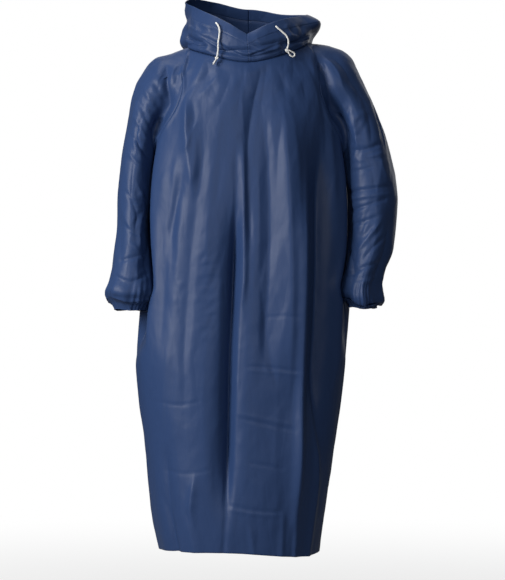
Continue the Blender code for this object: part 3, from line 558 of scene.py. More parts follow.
# Creases in the film, seen from the front, in millimetres: half width, depth (below zero it is a
# ridge), the share of its length over which it fades, then x and z along it.
bodyCreases = (
    (8.9, -3.5, 0.3, -144, -112, -138, -163, -142, -223),
    (7.1, -3.5, 0.3, -115, -169, -129, -209, -144, -250),
    (6.7, -3, 0.3, -120, -187, -120, -263, -129, -330),
    (6.7, 2.2, 0.35, -131, -112, -124, -156, -129, -241),
    (8.9, 2, 0.4, -102, -152, -104, -241, -113, -352),
    (7.8, -2.8, 0.35, -162, -241, -171, -318, -184, -423),
    (7.8, 2.5, 0.35, -158, -296, -171, -407, -175, -574),
    (7.8, 2.2, 0.35, -202, -352, -198, -463, -204, -574),
    (7.8, 2.2, 0.25, 29, -49, 20, -94, 7, -138),
    (8.9, 1.6, 0.3, -13, -54, -20, -112, -29, -174),
    (8.9, 2, 0.3, -38, -58, -55, -112, -78, -156),
    (7.8, -2.2, 0.3, -60, -54, -89, -94, -118, -125),
    (6.7, 1.8, 0.3, -82, -54, -109, -80, -133, -98),
    (8.9, 1.8, 0.3, 58, -45, 76, -85, 83, -129),
    (10, 2.5, 0.3, 91, -40, 116, -80, 131, -134),
    (8.9, -2.5, 0.3, 120, -36, 147, -94, 163, -169),
    (10, 3.5, 0.3, 154, -98, 172, -174, 180, -285),
    (6.7, -2.5, 0.3, 183, -152, 194, -241, 200, -374),
    (7.5, -6.2, 0.2, -15, -205, -11, -263, -10, -321, -11, -419, -13, -563, -22, -610),
    (10, -7.2, 0.3, -36, -330, -46, -485, -49, -663, -54, -790, -57, -960, -60, -1130),
    (7.5, 8.8, 0.3, -24, -330, -34, -485, -38, -663, -42, -790, -46, -960, -50, -1130),
    (34, -15, 0.22, 74, -70, 100, -180, 113, -450, 110, -800, 102, -1100),
    (22, 8, 0.25, 160, -260, 163, -450, 160, -700, 150, -980),
    (6.7, 2.5, 0.35, -29, -218, -29, -296, -31, -385),
    (7.8, 2, 0.35, 2, -330, 2, -441, -2, -596),
    (6.7, -1.8, 0.35, 20, -241, 23, -374, 23, -530),
    (11.1, 1.8, 0.4, -60, -174, -66, -285, -78, -419),
    (8.9, -2, 0.4, -82, -307, -93, -419, -95, -552),
    (7.1, 2.2, 0.3, 76, -138, 67, -218, 63, -352),
    (9.5, -7.5, 0.15, 127, -220, 127, -330, 125, -508, 118, -685, 111, -863, 105, -1060),
    (8.9, 2, 0.3, 163, -641, 163, -797, 158, -952),
    (7.1, -3.2, 0.25, 145, -734, 151, -863, 149, -1019, 114, -1219),
    (11.1, -2, 0.4, 172, -419, 180, -530, 187, -641),
    (10, 2, 0.4, -140, -574, -144, -708, -144, -863),
    (8.9, -1.8, 0.4, -175, -641, -191, -774, -198, -886),
    (11.1, -1.5, 0.4, -98, -641, -102, -797, -95, -952),
    (10, 1.6, 0.4, -82, -774, -80, -908, -73, -1064),
    (6.7, -2.5, 0.3, -20, -596, -24, -708, -31, -863, -38, -1019),
    (7.8, -2.5, 0.3, -60, -441, -66, -574, -66, -708, -69, -886),
    (3.6, 1.9, 0.15, -13, -721, 47, -725, 120, -734),
    (3.6, -1.2, 0.15, -13, -730, 47, -734, 120, -743),
    (3.6, 2.1, 0.15, -29, -834, 29, -848, 105, -866),
    (3.6, -1.2, 0.15, -29, -826, 29, -837, 105, -854),
    (3.6, 1.8, 0.15, -4, -935, 36, -941, 80, -952),
    (3.6, 1.9, 0.15, -53, -1028, 14, -1041, 78, -1046),
    (3.6, -1.2, 0.15, -53, -1037, 14, -1050, 78, -1055),
    (3.6, 1.4, 0.25, -215, -801, -153, -808, -98, -797),
    (3.6, 1.4, 0.25, -209, -952, -142, -961, -69, -948),
    (3.6, 1.5, 0.2, 29, -614, 80, -610, 118, -614),
    (5.7, 3.7, 0.2, -198, -1001, -175, -1081, -147, -1208),
    (5.7, 4.1, 0.2, -140, -1030, -124, -1090, -102, -1208),
    (5.7, 3.4, 0.2, -53, -1046, -55, -1108, -62, -1219),
    (7.6, -3.1, 0.25, -2, -1052, 7, -1108, 18, -1219),
    (6.6, -3.7, 0.2, 76, -1030, 74, -1108, 65, -1219),
    (5.7, 4.1, 0.2, 98, -1064, 94, -1130, 78, -1219),
)
rightSleeveCreases = (
    (7.9, 3, 0.25, -223, -69, -205, -100, -185, -136),
    (6.8, -2.8, 0.25, -246, -82, -228, -114, -201, -159),
    (7.2, 3.5, 0.25, -257, -114, -237, -154, -212, -200),
    (6.8, -2.8, 0.25, -266, -150, -248, -182, -223, -222),
    (7.9, 4, 0.25, -271, -200, -251, -220, -223, -258),
    (6.8, 3, 0.3, -244, -164, -257, -200, -244, -238),
    (6.8, -2.8, 0.3, -278, -236, -260, -258, -232, -281),
    (5.9, -3.2, 0.2, -255, -299, -239, -360, -248, -421, -237, -489),
    (6.3, 2.5, 0.3, -269, -340, -253, -380, -260, -430),
    (5.9, 2, 0.3, -287, -322, -262, -349, -232, -362),
    (5.9, 2.2, 0.3, -291, -394, -264, -421, -230, -435),
    (6.3, -2.4, 0.3, -278, -439, -251, -462, -228, -498),
    (6.3, 2.6, 0.25, -305, -489, -264, -480, -223, -466),
    (6.3, 3.6, 0.2, -309, -516, -269, -529, -219, -507),
    (5.9, -3, 0.2, -309, -538, -264, -547, -212, -534),
    (5.4, 3, 0.2, -309, -561, -264, -557, -210, -561),
)
leftSleeveCreases = (
    (6.3, 3.2, 0.2, 219, -236, 264, -234, 310, -215),
    (6.3, -2.4, 0.25, 219, -254, 264, -254, 314, -236),
    (6.3, 3.4, 0.15, 217, -331, 273, -324, 337, -313),
    (5.9, -2.6, 0.2, 219, -346, 273, -340, 337, -331),
    (6.3, 3.2, 0.15, 219, -376, 269, -360, 321, -342),
    (6.3, 2.8, 0.25, 224, -407, 260, -396, 296, -385),
    (6.8, -3.4, 0.25, 237, -475, 264, -439, 301, -394),
    (6.8, 3, 0.25, 251, -489, 282, -453, 319, -421),
    (6.8, 3.8, 0.2, 215, -520, 255, -502, 301, -487),
    (6.8, 2.6, 0.3, 217, -439, 233, -480, 233, -520),
    (5.9, -3, 0.2, 215, -538, 255, -527, 305, -516),
    (7.2, -2.6, 0.3, 235, -150, 242, -213, 233, -281),
    (7.9, 2.2, 0.3, 255, -105, 273, -168, 278, -236),
    (6.8, 3, 0.3, 228, -123, 219, -177, 224, -236),
    (6.8, -2, 0.3, 291, -236, 305, -281, 319, -317),
    (5.9, 2, 0.3, 224, -285, 251, -281, 287, -272),
)
shoulderCreases = (
    (6.8, 2, 0.3, -137, -16, -146, -61, -160, -106),
    (6.8, -1.8, 0.3, -160, -25, -173, -65, -182, -115),
    (7.2, 2, 0.3, -182, -34, -200, -70, -207, -115),
    (9, 10.5, 0.22, 142, -14, 166, -52, 182, -106, 206, -190),
    (8.5, 9.5, 0.2, -190, -28, -186, -85, -182, -130, -204, -172, -219, -222),
    (7.7, -3.5, 0.3, 165, -11, 196, -47, 217, -101),
    (7.2, 2.2, 0.3, 187, -11, 219, -47, 241, -97),
    (6.8, -2, 0.3, -119, -38, -142, -56, -173, -70),
)
hoodCreases = (
    (6.5, 3, 0.3, 85, 46, 104, 30, 128, 22),
    (5.5, -4, 0.25, -146, 58, -120, 36, -92, 16),
    (5, 4.2, 0.25, -152, 34, -128, 16, -100, 4),
    (4.9, 3, 0.25, -99, -13, -60, -17, -20, -15, 29, -17),
    (4.9, -2.2, 0.3, -94, -24, -47, -28, 14, -26),
    (4.5, 2.8, 0.25, 2, 5, 23, -5, 47, -1, 79, 10),
    (4.9, -2.2, 0.3, 11, -13, 47, -15, 83, -4),
    (4.9, 3, 0.25, -112, 19, -94, 3, -72, -15),
    (6.3, 5, 0.2, -139, 10, -121, -1, -96, -6),
    (6.7, 6, 0.2, 65, 1, 101, 8, 151, 19),
    (6.7, 4, 0.25, 70, -17, 97, -13, 122, 1),
    (4.5, -2.6, 0.3, -110, 52, -99, 41, -81, 32),
    (5.4, -2.8, 0.3, -130, 73, -119, 46, -117, 19),
    (5.4, 2.2, 0.3, -144, 68, -135, 41, -141, 14),
    (4.9, 2.4, 0.3, 113, 57, 122, 34, 117, 10),
    (5.4, -1.6, 0.3, 81, 50, 92, 30, 97, 10),
)


# What shapes the cloth beyond its main form.
cloth = {
    "film": 0.0005,           # thickness of the sheet
    "sharp": 1.25,            # 2 rounds a crease off, 1 folds it to a line
    "lip": 0.12,              # how far cloth rises beside a crease, as a share of its depth
    "creasePoints": 11,
    "creaseReach": 4,         # half widths of a crease at which it has died out
    "turnAway": 0.03,         # depth behind the side line at which creases are full
    "finer": {"body": 2, "sleeve": 3},    # columns between two of the base grid
    "finerRows": 3,           # and rows
    "seamColumns": 6,         # columns over which a panel is drawn to its seam line
    "seamGroove": 0.0002,     # depth of the welded seams
    "turnGap": 0.0012,        # free space inside a turned edge
    "hemTurn": 4,             # rows of cloth turned in at the hem
}
crumple = {"seed": 7, "waves": 26, "longest": 0.16, "shortest": 0.03, "height": 0.0005,
           "upright": 0.35}


# More points in a grid along one of its axes, smoothly between its own.
def refine(grid, factor, axis):
    grid = np.moveaxis(grid, axis, 0)
    slopes = np.gradient(grid, axis=0)
    at = np.linspace(0, len(grid) - 1, (len(grid) - 1) * factor + 1)
    cell = np.minimum(at.astype(int), len(grid) - 2)
    t = (at - cell).reshape(-1, 1, 1)
    start = (1 + 2 * t) * (1 - t) ** 2 * grid[cell] + t * (1 - t) ** 2 * slopes[cell]
    end = t ** 2 * (3 - 2 * t) * grid[cell + 1] + t ** 2 * (t - 1) * slopes[cell + 1]
    return np.moveaxis(start + end, 0, axis)


# A panel's fine grid. Its edges follow the same lines as its neighbours', apart below and above
# the underarm row.
def finePanel(grid, corner, kind):
    rows, columns = cloth["finerRows"], cloth["finer"][kind]
    fine = refine(refine(grid, rows, 0), columns, 1)
    for part, finePart in ((slice(0, corner + 1), slice(0, corner * rows + 1)),
                           (slice(corner, None), slice(corner * rows, None))):
        for edge, inward in ((0, 1), (-1, -1)):
            line = refine(grid[part, edge][:, None], rows, 0)[:, 0]
            missing = line - fine[finePart, edge]
            for k in range(cloth["seamColumns"]):
                fine[finePart, edge + inward * k] += missing * (1 - k / cloth["seamColumns"])
    return fine


# Creases as 1 in front or -1 behind, path, half width, depth and fade: the table's own ones in
# front, and those of the hidden side, mirrored.
def bothSides(table, hidden=None, share=1.0):
    found = []
    for face, rows, scale in ((1.0, table, 1.0), (-1.0, hidden or table, share)):
        for width, depth, fade, *path in rows:
            path = [(face * x / 1000, z / 1000) for x, z in zip(path[::2], path[1::2])]
            found.append((face, path, width / 1000, depth / 1000 * scale, fade))
    return found


creaseTables = {
    "body": bothSides(bodyCreases, share=0.9),
    "right": bothSides(rightSleeveCreases, leftSleeveCreases),
    "left": bothSides(leftSleeveCreases, rightSleeveCreases),
    "shoulders": bothSides(shoulderCreases, share=0.8),
    "hood": bothSides(hoodCreases, share=0.7),
}


# How far creases lift the cloth at each point, by their distance from it in the front view.
def creaseLift(points, table, facing, narrow=1.0):
    flat = points[..., (0, 2)].reshape(-1, 2)
    toward = facing.reshape(-1)
    lift = np.zeros(len(flat))
    for sign, path, width, depth, fade in creaseTables[table]:
        line = smoothPath(path, np.linspace(0, 1, cloth["creasePoints"]))
        width = width * narrow
        reach = cloth["creaseReach"] * width
        near = np.all((flat > line.min(0) - reach) & (flat < line.max(0) + reach), axis=1)
        near &= toward * sign > 0
        steps = np.diff(line, axis=0)
        offset = flat[near][:, None] - line[:-1]
        share = np.clip((offset * steps).sum(-1) / (steps ** 2).sum(-1), 0, 1)
        distance = np.linalg.norm(offset - share[..., None] * steps, axis=-1)
        best = distance.argmin(1)[:, None]
        along = (best + np.take_along_axis(share, best, 1))[:, 0] / len(steps)
        t = np.take_along_axis(distance, best, 1)[:, 0] / width
        shape = np.exp(-t ** cloth["sharp"]) - cloth["lip"] * np.exp(-((t - 2) / 0.8) ** 2)
        ends = smoothstep(0, fade, along) * smoothstep(1, 1 - fade, along)
        lift[near] -= depth * ends * shape * smoothstep(0.0, cloth["turnAway"], toward[near] * sign)
    return lift.reshape(points.shape[:-1])


# The small uneven ridges of handled film: bent waves, each in its own patches.
def crumpleLift(points):
    random = np.random.default_rng(crumple["seed"])
    lift = np.zeros(points.shape[:-1])
    for wave in range(crumple["waves"]):
        length = crumple["longest"] * random.uniform(crumple["shortest"] / crumple["longest"], 1)
        way = unit(random.normal(size=3) * (1.0, 1.0, crumple["upright"]))
        across = unit(random.normal(size=3))
        swing = np.sin(points @ across * (2.1 / length) * math.pi + random.uniform(0, 6))
        phase = points @ way * (2 * math.pi / length) + 1.1 * swing + random.uniform(0, 6)
        patch = points @ unit(random.normal(size=3)) * (1.6 * math.pi / length)
        patch = np.sin(patch + random.uniform(0, 6))
        ridge = (1 - np.abs(np.sin(phase / 2))) ** 2.5 - 0.2
        lift += ridge * smoothstep(-0.1, 0.9, patch) * length / crumple["longest"]
    return lift * crumple["height"]


# Flat facets of stiff film between straight folds: radius of the tube that they are spread on,
# mean width and height of one, how far their corners stand in or out, and by how many facets
# their rows climb in one turn round the tube.
facets = {
    "body": {"seed": 3, "radius": 0.20, "wide": 0.042, "tall": 0.160, "height": 0.0048, "climb": 1},
    "yoke": {"seed": 8, "radius": 0.20, "wide": 0.050, "tall": 0.055, "height": 0.0055, "climb": 0},
    "right": {"seed": 11, "radius": 0.075, "wide": 0.030, "tall": 0.070, "height": 0.0075, "climb": 4},
    "left": {"seed": 19, "radius": 0.080, "wide": 0.031, "tall": 0.068, "height": 0.0085, "climb": -4},
    "hood": {"seed": 5, "radius": 0.130, "wide": 0.055, "tall": 0.045, "height": 0.0060, "climb": 2},
}


def facetLift(points, axis, values):
    random = np.random.default_rng(values["seed"])
    x, y, z = np.moveaxis(points, -1, 0)
    turn = np.arctan2(x - axis[..., 0], axis[..., 1] - y) / (2 * math.pi)
    around, climb = round(2 * math.pi * values["radius"] / values["wide"]), values["climb"]
    place = np.stack([turn * around, z / values["tall"] + climb * turn], axis=-1)
    low, high = int(place[..., 1].min()) - 3, int(place[..., 1].max()) + 3
    rows = high - low + 2 * abs(climb)
    shift = random.uniform(-0.40, 0.40, (around, rows, 2))
    heights = random.uniform(-1.0, 0.6, (around, rows)) * random.uniform(0.4, 1.0, (around, rows))
    spots, lifts = [], []
    for column in range(-around // 2 - 2, around // 2 + 4):
        turns = (column + around // 2) // around
        own = column - around * turns
        for row in range(low, high):
            at = own, row - low - climb * turns + abs(climb)
            spots.append((column + shift[at][0], row + shift[at][1] + 0.5 * (own % 2)))
            lifts.append(heights[at])
    spots = [mathutils.Vector(spot) for spot in spots]
    found = mathutils.geometry.delaunay_2d_cdt(spots, [], [], 0, 1e-5)
    lifts = np.array([lifts[own[0]] for own in found[3]])
    corners = np.array([tuple(v) for v in found[0]])
    flat = place.reshape(-1, 2)
    lift = np.zeros(len(flat))
    for face in found[2]:
        a, b, c = corners[list(face)]
        near = np.nonzero(np.all((flat >= np.minimum(a, np.minimum(b, c)))
                                 & (flat <= np.maximum(a, np.maximum(b, c))), axis=1))[0]
        if len(near):
            share = np.linalg.solve(np.stack([b - a, c - a], axis=1), (flat[near] - a).T)
            inside = (share >= -1e-9).all(0) & (share.sum(0) <= 1 + 1e-9)
            first, second = share[:, inside]
            lift[near[inside]] = (lifts[face[0]] * (1 - first - second)
                                  + lifts[face[1]] * first + lifts[face[2]] * second)
    return lift.reshape(points.shape[:-1]) * values["height"]


# Patches of small crinkles on the front: piece, middle x and z, half size along x and z, height.
patches = (
    ("body", (-0.090, -0.520), (0.022, 0.070), 0.0006),
    ("body", (-0.092, -0.620), (0.016, 0.060), 0.0005),
    ("body", (-0.160, -0.560), (0.014, 0.060), 0.0004),
    ("right", (-0.247, -0.390), (0.014, 0.080), 0.0011),
    ("left", (0.270, -0.420), (0.030, 0.060), 0.0008),
    ("left", (0.245, -0.200), (0.020, 0.060), 0.0007),
)
# The waves in them.
patchWaves = {"seed": 21, "count": 6, "shortest": 0.014, "longest": 0.030, "bend": 90, "strength": 14}


def patchLift(points, piece):
    random = np.random.default_rng(patchWaves["seed"])
    waves = 0.0
    for wave in range(patchWaves["count"]):
        way = unit(random.normal(size=3) * (0.8, 0.4, 1.0))
        length = random.uniform(patchWaves["shortest"], patchWaves["longest"])
        bend = points @ unit(random.normal(size=3)) * patchWaves["bend"]
        bend = np.sin(bend + random.uniform(0, 6))
        phase = points @ way * (2 * math.pi / length) + 1.5 * bend
        waves = waves + np.arcsin(0.96 * np.sin(phase)) * length
    lift = np.zeros(points.shape[:-1])
    for owner, middle, size, height in patches:
        if owner == piece:
            away = (points[..., (0, 2)] - middle) / size
            inside = np.exp(-(away ** 2).sum(-1)) * (points[..., 1] < -0.02)
            lift += height * patchWaves["strength"] * waves * inside
    return lift


# How far the gathers move each point of a sleeve's end or of its cuff.
def gatherShift(points, side, values):
    x, y, z = np.moveaxis(points, -1, 0)
    middleX, middleY, wide, deep = sectionAt(sleeveSections[side], z)
    a, b = (x - middleX) / wide, (y - middleY) / deep
    turn = np.arctan2(b, a)
    count, phase = values["count"], values["phase"]
    slow = 0.7 * np.sin(2 * turn + phase) + 0.5 * np.sin(3 * turn + 2 * phase)
    slow = slow + 1.6 * np.sin(2 * turn + 1.7 * phase) + 1.1 * np.sin(5 * turn + 0.6 * phase)
    wave = -np.abs(np.sin(0.5 * (count * turn + slow + 40 * z))) ** 0.8
    wave = wave * (1 + 0.4 * np.sin(3 * turn + phase))
    wave += 0.30 * np.sin(2 * count * turn + 2.5 * slow + phase - 60 * z)
    wave += 0.3 * np.sin(5 * turn + phase)
    size, swell, droop = [np.interp(z, values["at"], values[key]) for key in ("size", "swell", "droop")]
    droop = droop * (1 + 0.5 * np.sin(turn + phase) + 0.4 * np.sin(3 * turn))
    outward = unit(np.stack([a / wide, b / deep, 0 * a], axis=-1))
    return outward * (wave * size + swell)[..., None] + droop[..., None] * np.array([0.0, 0.0, 1.0])


# Fades from 0 at a panel's seams above the underarm row, and at its neckline, to 1 inside it.
def seamFade(shape, corner, columns=5, rows=8):
    height, width = shape[:2]
    across = smoothstep(0, columns, fromEdges(width))[None, :] + np.zeros((height, 1))
    below = smoothstep(0, 14, corner - np.arange(height))[:, None]
    across = across + (1 - across) * below
    return across * smoothstep(0, rows, fromLast(height))[:, None]


# A fine groove along the welded seams.
def grooveLift(shape):
    beside = fromEdges(shape[1])[None, :] + np.zeros((shape[0], 1))
    lift = -cloth["seamGroove"] * np.exp(-(beside / 0.8) ** 2)
    return lift + 0.5 * cloth["seamGroove"] * np.exp(-((beside - 2.2) / 0.8) ** 2)


# The sheet goes on round the edge at its first or last rows and back inside itself.
def turnIn(grid, normals, rows, atEnd):
    if not atEnd:
        grid, normals = grid[::-1], normals[::-1]
    gap = cloth["turnGap"]
    ahead = unit(grid[-1] - grid[-2])
    inside = grid[::-1][:rows] - normals[::-1][:rows] * gap
    bend = grid[-1] - normals[-1] * gap / 2 + ahead * gap / 2
    grid = np.concatenate([grid, bend[None], inside])
    return grid if atEnd else grid[::-1]


# A piece with its UV layer and look, in place of a node of the solids.
def addPiece(node, suffix, points, faces, layer, places, material, thickness=0.0):
    mesh = bpy.data.meshes.new(node)
    mesh.from_pydata(points, [], faces)
    mesh.uv_layers.new(name=layer).uv.foreach_set("vector", np.array(places, np.float32).ravel())
    mesh.shade_smooth()
    mesh.materials.append(material)
    item = bpy.data.objects.new(node + suffix, mesh)
    scene.collection.objects.link(item)
    if thickness:
        film = item.modifiers.new("film", "SOLIDIFY")
        film.thickness, film.offset = thickness, -1.0
    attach(item, "root")
    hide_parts(node)
    return item


pieces, areas = {}, {}


# A sheet of film from a grid of its outer points. loops is how many of its first rows close.
def addSheet(node, grid, loops, material):
    height, width = grid.shape[:2]
    index = np.arange(height * width).reshape(height, width)
    index[:loops, -1] = index[:loops, 0]
    corners = [index[:-1, :-1], index[:-1, 1:], index[1:, 1:], index[1:, :-1]]
    used, faces = np.unique(np.stack(corners, axis=-1).reshape(-1, 4), return_inverse=True)
    faces = faces.reshape(-1, 4)
    lengths = [np.linalg.norm(np.diff(grid, axis=axis), axis=-1).mean() for axis in (1, 0)]
    corner = used[faces.reshape(-1)]
    flat = np.stack([corner % width * lengths[0], corner // width * lengths[1]], axis=-1)
    pieces[node] = addPiece(node, "_cloth", grid.reshape(-1, 3)[used].tolist(), faces.tolist(), "sheet", flat,
                            material, cloth["film"])
    face = np.cross(grid[1:, 1:] - grid[:-1, :-1], grid[1:, :-1] - grid[:-1, 1:])
    areas[node] = float(np.linalg.norm(face, axis=-1).sum() / 2)


# Materials
def nodeGroup(name, inputs, outputs):
    tree = bpy.data.node_groups.new(name, "ShaderNodeTree")
    for label, value in inputs.items():
        kind = "NodeSocketVector" if value is None else "NodeSocketFloat"
        socket = tree.interface.new_socket(label, in_out="INPUT", socket_type=kind)
        if value is not None:
            socket.default_value = value
    for label, kind in outputs.items():
        tree.interface.new_socket(label, in_out="OUTPUT", socket_type=kind)
    return tree, tree.nodes.new("NodeGroupInput").outputs, tree.nodes.new("NodeGroupOutput").inputs


# A node whose inputs are set to values, or linked where a socket is given. Returns its outputs.
def addNode(tree, kind, inputs=(), **options):
    node = tree.nodes.new("ShaderNode" + kind)
    for key, value in options.items():
        setattr(node, key, value)
    for key, value in dict(inputs).items():
        if isinstance(value, bpy.types.NodeSocket):
            tree.links.new(value, node.inputs[key])
        else:
            node.inputs[key].default_value = value
    return node.outputs


# Soft crinkles, small facets and fine grain of thin film, from a point on the piece.
def filmRelief():
    tree, given, out = nodeGroup("film relief", {"Point": None, "Crinkle": 0.4, "Facets": 0.1, "Grain": 0.1},
                                 {"Normal": "NodeSocketVector", "Tone": "NodeSocketFloat"})
    point = addNode(tree, "Mapping", {"Vector": given["Point"], "Scale": (1.0, 1.0, 0.35)})[0]
    crease = addNode(tree, "TexNoise", {"Vector": point, "Scale": 16.0, "Detail": 3.0, "Roughness": 0.5,
                                        "Distortion": 0.6})["Fac"]
    centred = addNode(tree, "Math", {0: crease, 1: 0.5}, operation="SUBTRACT")[0]
    ridge = addNode(tree, "Math", {0: centred}, operation="ABSOLUTE")[0]
    first = addNode(tree, "Bump", {"Strength": given["Crinkle"], "Distance": 0.006, "Height": ridge})[0]
    bend = addNode(tree, "TexNoise", {"Vector": point, "Scale": 7.0, "Detail": 1.0})["Color"]
    shift = addNode(tree, "VectorMath", {0: bend, 3: 0.06}, operation="SCALE")[0]
    bent = addNode(tree, "VectorMath", {0: point, 1: shift}, operation="ADD")[0]
    cells = addNode(tree, "TexVoronoi", {"Vector": bent, "Scale": 26.0}, feature="DISTANCE_TO_EDGE")
    flats = addNode(tree, "Bump", {"Strength": given["Facets"], "Distance": 0.008,
                                   "Height": cells["Distance"], "Normal": first})[0]
    grain = addNode(tree, "TexNoise", {"Vector": given["Point"], "Scale": 260.0, "Detail": 2.0})["Fac"]
    last = addNode(tree, "Bump", {"Strength": given["Grain"], "Distance": 0.0006, "Height": grain,
                                  "Normal": flats})[0]
    tone = addNode(tree, "TexNoise", {"Vector": point, "Scale": 5.0, "Detail": 3.0})["Fac"]
    tree.links.new(last, out["Normal"])
    tree.links.new(tone, out["Tone"])
    return tree


# Fibres of a soft cord, from its UV: u runs round it and v along it in metres.
def cordRelief():
    tree, given, out = nodeGroup("cord relief", {"Place": None, "Depth": 0.5},
                                 {"Normal": "NodeSocketVector", "Tone": "NodeSocketFloat"})
    place = addNode(tree, "Mapping", {"Vector": given["Place"], "Scale": (9.0, 900.0, 1.0)})[0]
    strands = addNode(tree, "TexNoise", {"Vector": place, "Scale": 1.0, "Detail": 2.0,
                                         "Roughness": 0.6})["Fac"]
    bump = addNode(tree, "Bump", {"Strength": given["Depth"], "Distance": 0.0004, "Height": strands})[0]
    tree.links.new(bump, out["Normal"])
    tree.links.new(strands, out["Tone"])
    return tree


# A material whose colour runs from dark to light with a relief group's tone.
def reliefMaterial(name, relief, coordinates, surface, dark, light, **strengths):
    material = bpy.data.materials.new(name)
    material.use_nodes = True
    tree = material.node_tree
    shader = tree.nodes["Principled BSDF"]
    for key, value in surface.items():
        shader.inputs[key].default_value = value
    kind, options, output, entry = coordinates
    place = addNode(tree, kind, **options)[output]
    group = addNode(tree, "Group", node_tree=relief)
    for key, value in strengths.items():
        group["Normal"].node.inputs[key.capitalize()].default_value = value
    tree.links.new(place, group["Normal"].node.inputs[entry])
    colour = addNode(tree, "Mix", {"Factor": group["Tone"], 6: dark, 7: light}, data_type="RGBA")[2]
    tree.links.new(group["Normal"], shader.inputs["Normal"])
    tree.links.new(colour, shader.inputs["Base Color"])
    return material


filmPlace = ("TexCoord", {}, "Object", "Point")
filmSurface = {"Roughness": 0.42, "Specular IOR Level": 0.20}
relief = filmRelief()
coatFilm = reliefMaterial("coat film", relief, filmPlace, filmSurface, (0.022, 0.048, 0.134, 1.0),
                          (0.030, 0.062, 0.166, 1.0), crinkle=0.15, facets=0.14, grain=0.06)
hoodFilm = reliefMaterial("hood film", relief, filmPlace, filmSurface, (0.021, 0.045, 0.126, 1.0),
                          (0.028, 0.058, 0.154, 1.0), crinkle=0.15, facets=0.30, grain=0.06)
cordMaterial = reliefMaterial("cord", cordRelief(), ("UVMap", {"uv_map": "cord"}, "UV", "Place"),
                              {"Roughness": 0.85}, (0.70, 0.70, 0.68, 1.0), (0.90, 0.90, 0.88, 1.0))


# Cords
cordDiameter = 0.0038
cordValues = {"sides": 18, "lobes": 3, "lobeDepth": 0.09, "lay": 0.013, "step": 0.0011,
              "knotRadius": 0.0041, "knotTube": 0.00155, "knotSize": 0.00092}
# Routes of the two cord ends, from the hole in the casing down towards the knot: x, y, z.
cordRoutes = {
    "right": rowsOf(3, (
        -74.3, -106, 49.7, -69.4, -115.4, 42.4, -66.2, -120.2, 33.6,
        -65.9, -122.2, 25.2, -66.7, -123.6, 17.7, -67.6, -124.7, 11,
        -68.7, -125.1, 4.3, -69, -125.2, -9.2, -70.6, -125.2, -24.9,
    )),
    "left": rowsOf(3, (
        60.2, -115.8, 40.8, 65.2, -117, 36, 71.1, -115.8, 31.4,
        76.2, -115.3, 26.9, 81.1, -114.7, 22.6, 84.9, -114.2, 18.2,
        87.8, -113.8, 12.3, 88.8, -113.5, 4, 87.6, -113.2, -4,
    )),
}
knots = {"right": (-0.0722, -0.1252, -0.0322), "left": (0.0852, -0.1130, -0.0135)}
# The small loop below each knot, from the knot round to the knot again: x, y, z.
cordLoops = {
    "right": rowsOf(3, (
        -74.5, -127.5, -36.8, -77.6, -128.8, -41.2, -79.6, -127, -45,
        -79, -123.8, -44.6, -76.6, -121.8, -40.8, -73.8, -122.2, -36.4,
    )),
    "left": rowsOf(3, (
        90.4, -112.8, -13.7, 96.8, -110.5, -16, 102, -108, -19.2,
        103, -107.2, -23.6, 99.4, -108.2, -26.8, 94, -110.4, -25,
        88.6, -112.2, -17.8,
    )),
}


# A closed tube along a path, with soft lobes that twist round it.
def tubePiece(node, path, radius, closed=False):
    path = np.array(path)
    count, sides = len(path), cordValues["sides"]
    if closed:
        ahead = unit(np.roll(path, -1, 0) - np.roll(path, 1, 0))
    else:
        ahead = unit(np.gradient(path, axis=0))
    aside = unit(np.cross(ahead[0], (0.31, 0.87, 0.38)))
    reach = np.concatenate([[0.0], np.cumsum(np.linalg.norm(np.diff(path, axis=0), axis=1))])
    turn = np.linspace(0, 2 * math.pi, sides, endpoint=False)
    rings = []
    for point, way, length in zip(path, ahead, reach):
        aside = unit(aside - way * (aside @ way))
        over = np.cross(way, aside)
        twist = cordValues["lobes"] * turn + 2 * math.pi * length / cordValues["lay"]
        wave = 1 + cordValues["lobeDepth"] * np.cos(twist)
        rings.append(point + radius * wave[:, None] * (np.cos(turn)[:, None] * aside
                                                       + np.sin(turn)[:, None] * over))
    points = [tuple(p) for ring in rings for p in ring]
    faces, places = [], []
    for r in range(count if closed else count - 1):
        s = (r + 1) % count
        for c in range(sides):
            d = (c + 1) % sides
            faces.append((r * sides + c, r * sides + d, s * sides + d, s * sides + c))
            places += [(c / sides, reach[r]), ((c + 1) / sides, reach[r]),
                       ((c + 1) / sides, reach[r] + 0.001), (c / sides, reach[r] + 0.001)]
    if not closed:
        for ring, order in ((0, -1), (count - 1, 1)):
            centre = len(points)
            points.append(tuple(path[ring] + order * ahead[ring] * radius * 0.35))
            for c in range(sides):
                a, b = ring * sides + c, ring * sides + (c + 1) % sides
                faces.append((centre, a, b) if order > 0 else (centre, b, a))
                places += [(c / sides, reach[ring])] * 3
    return addPiece(node, "_yarn", points, faces, "cord", places, cordMaterial)


def cordRoute(points):
    length = np.linalg.norm(np.diff(np.array(points), axis=0), axis=1).sum()
    return smoothPath(points, np.linspace(0, 1, int(length / cordValues["step"]) + 2))


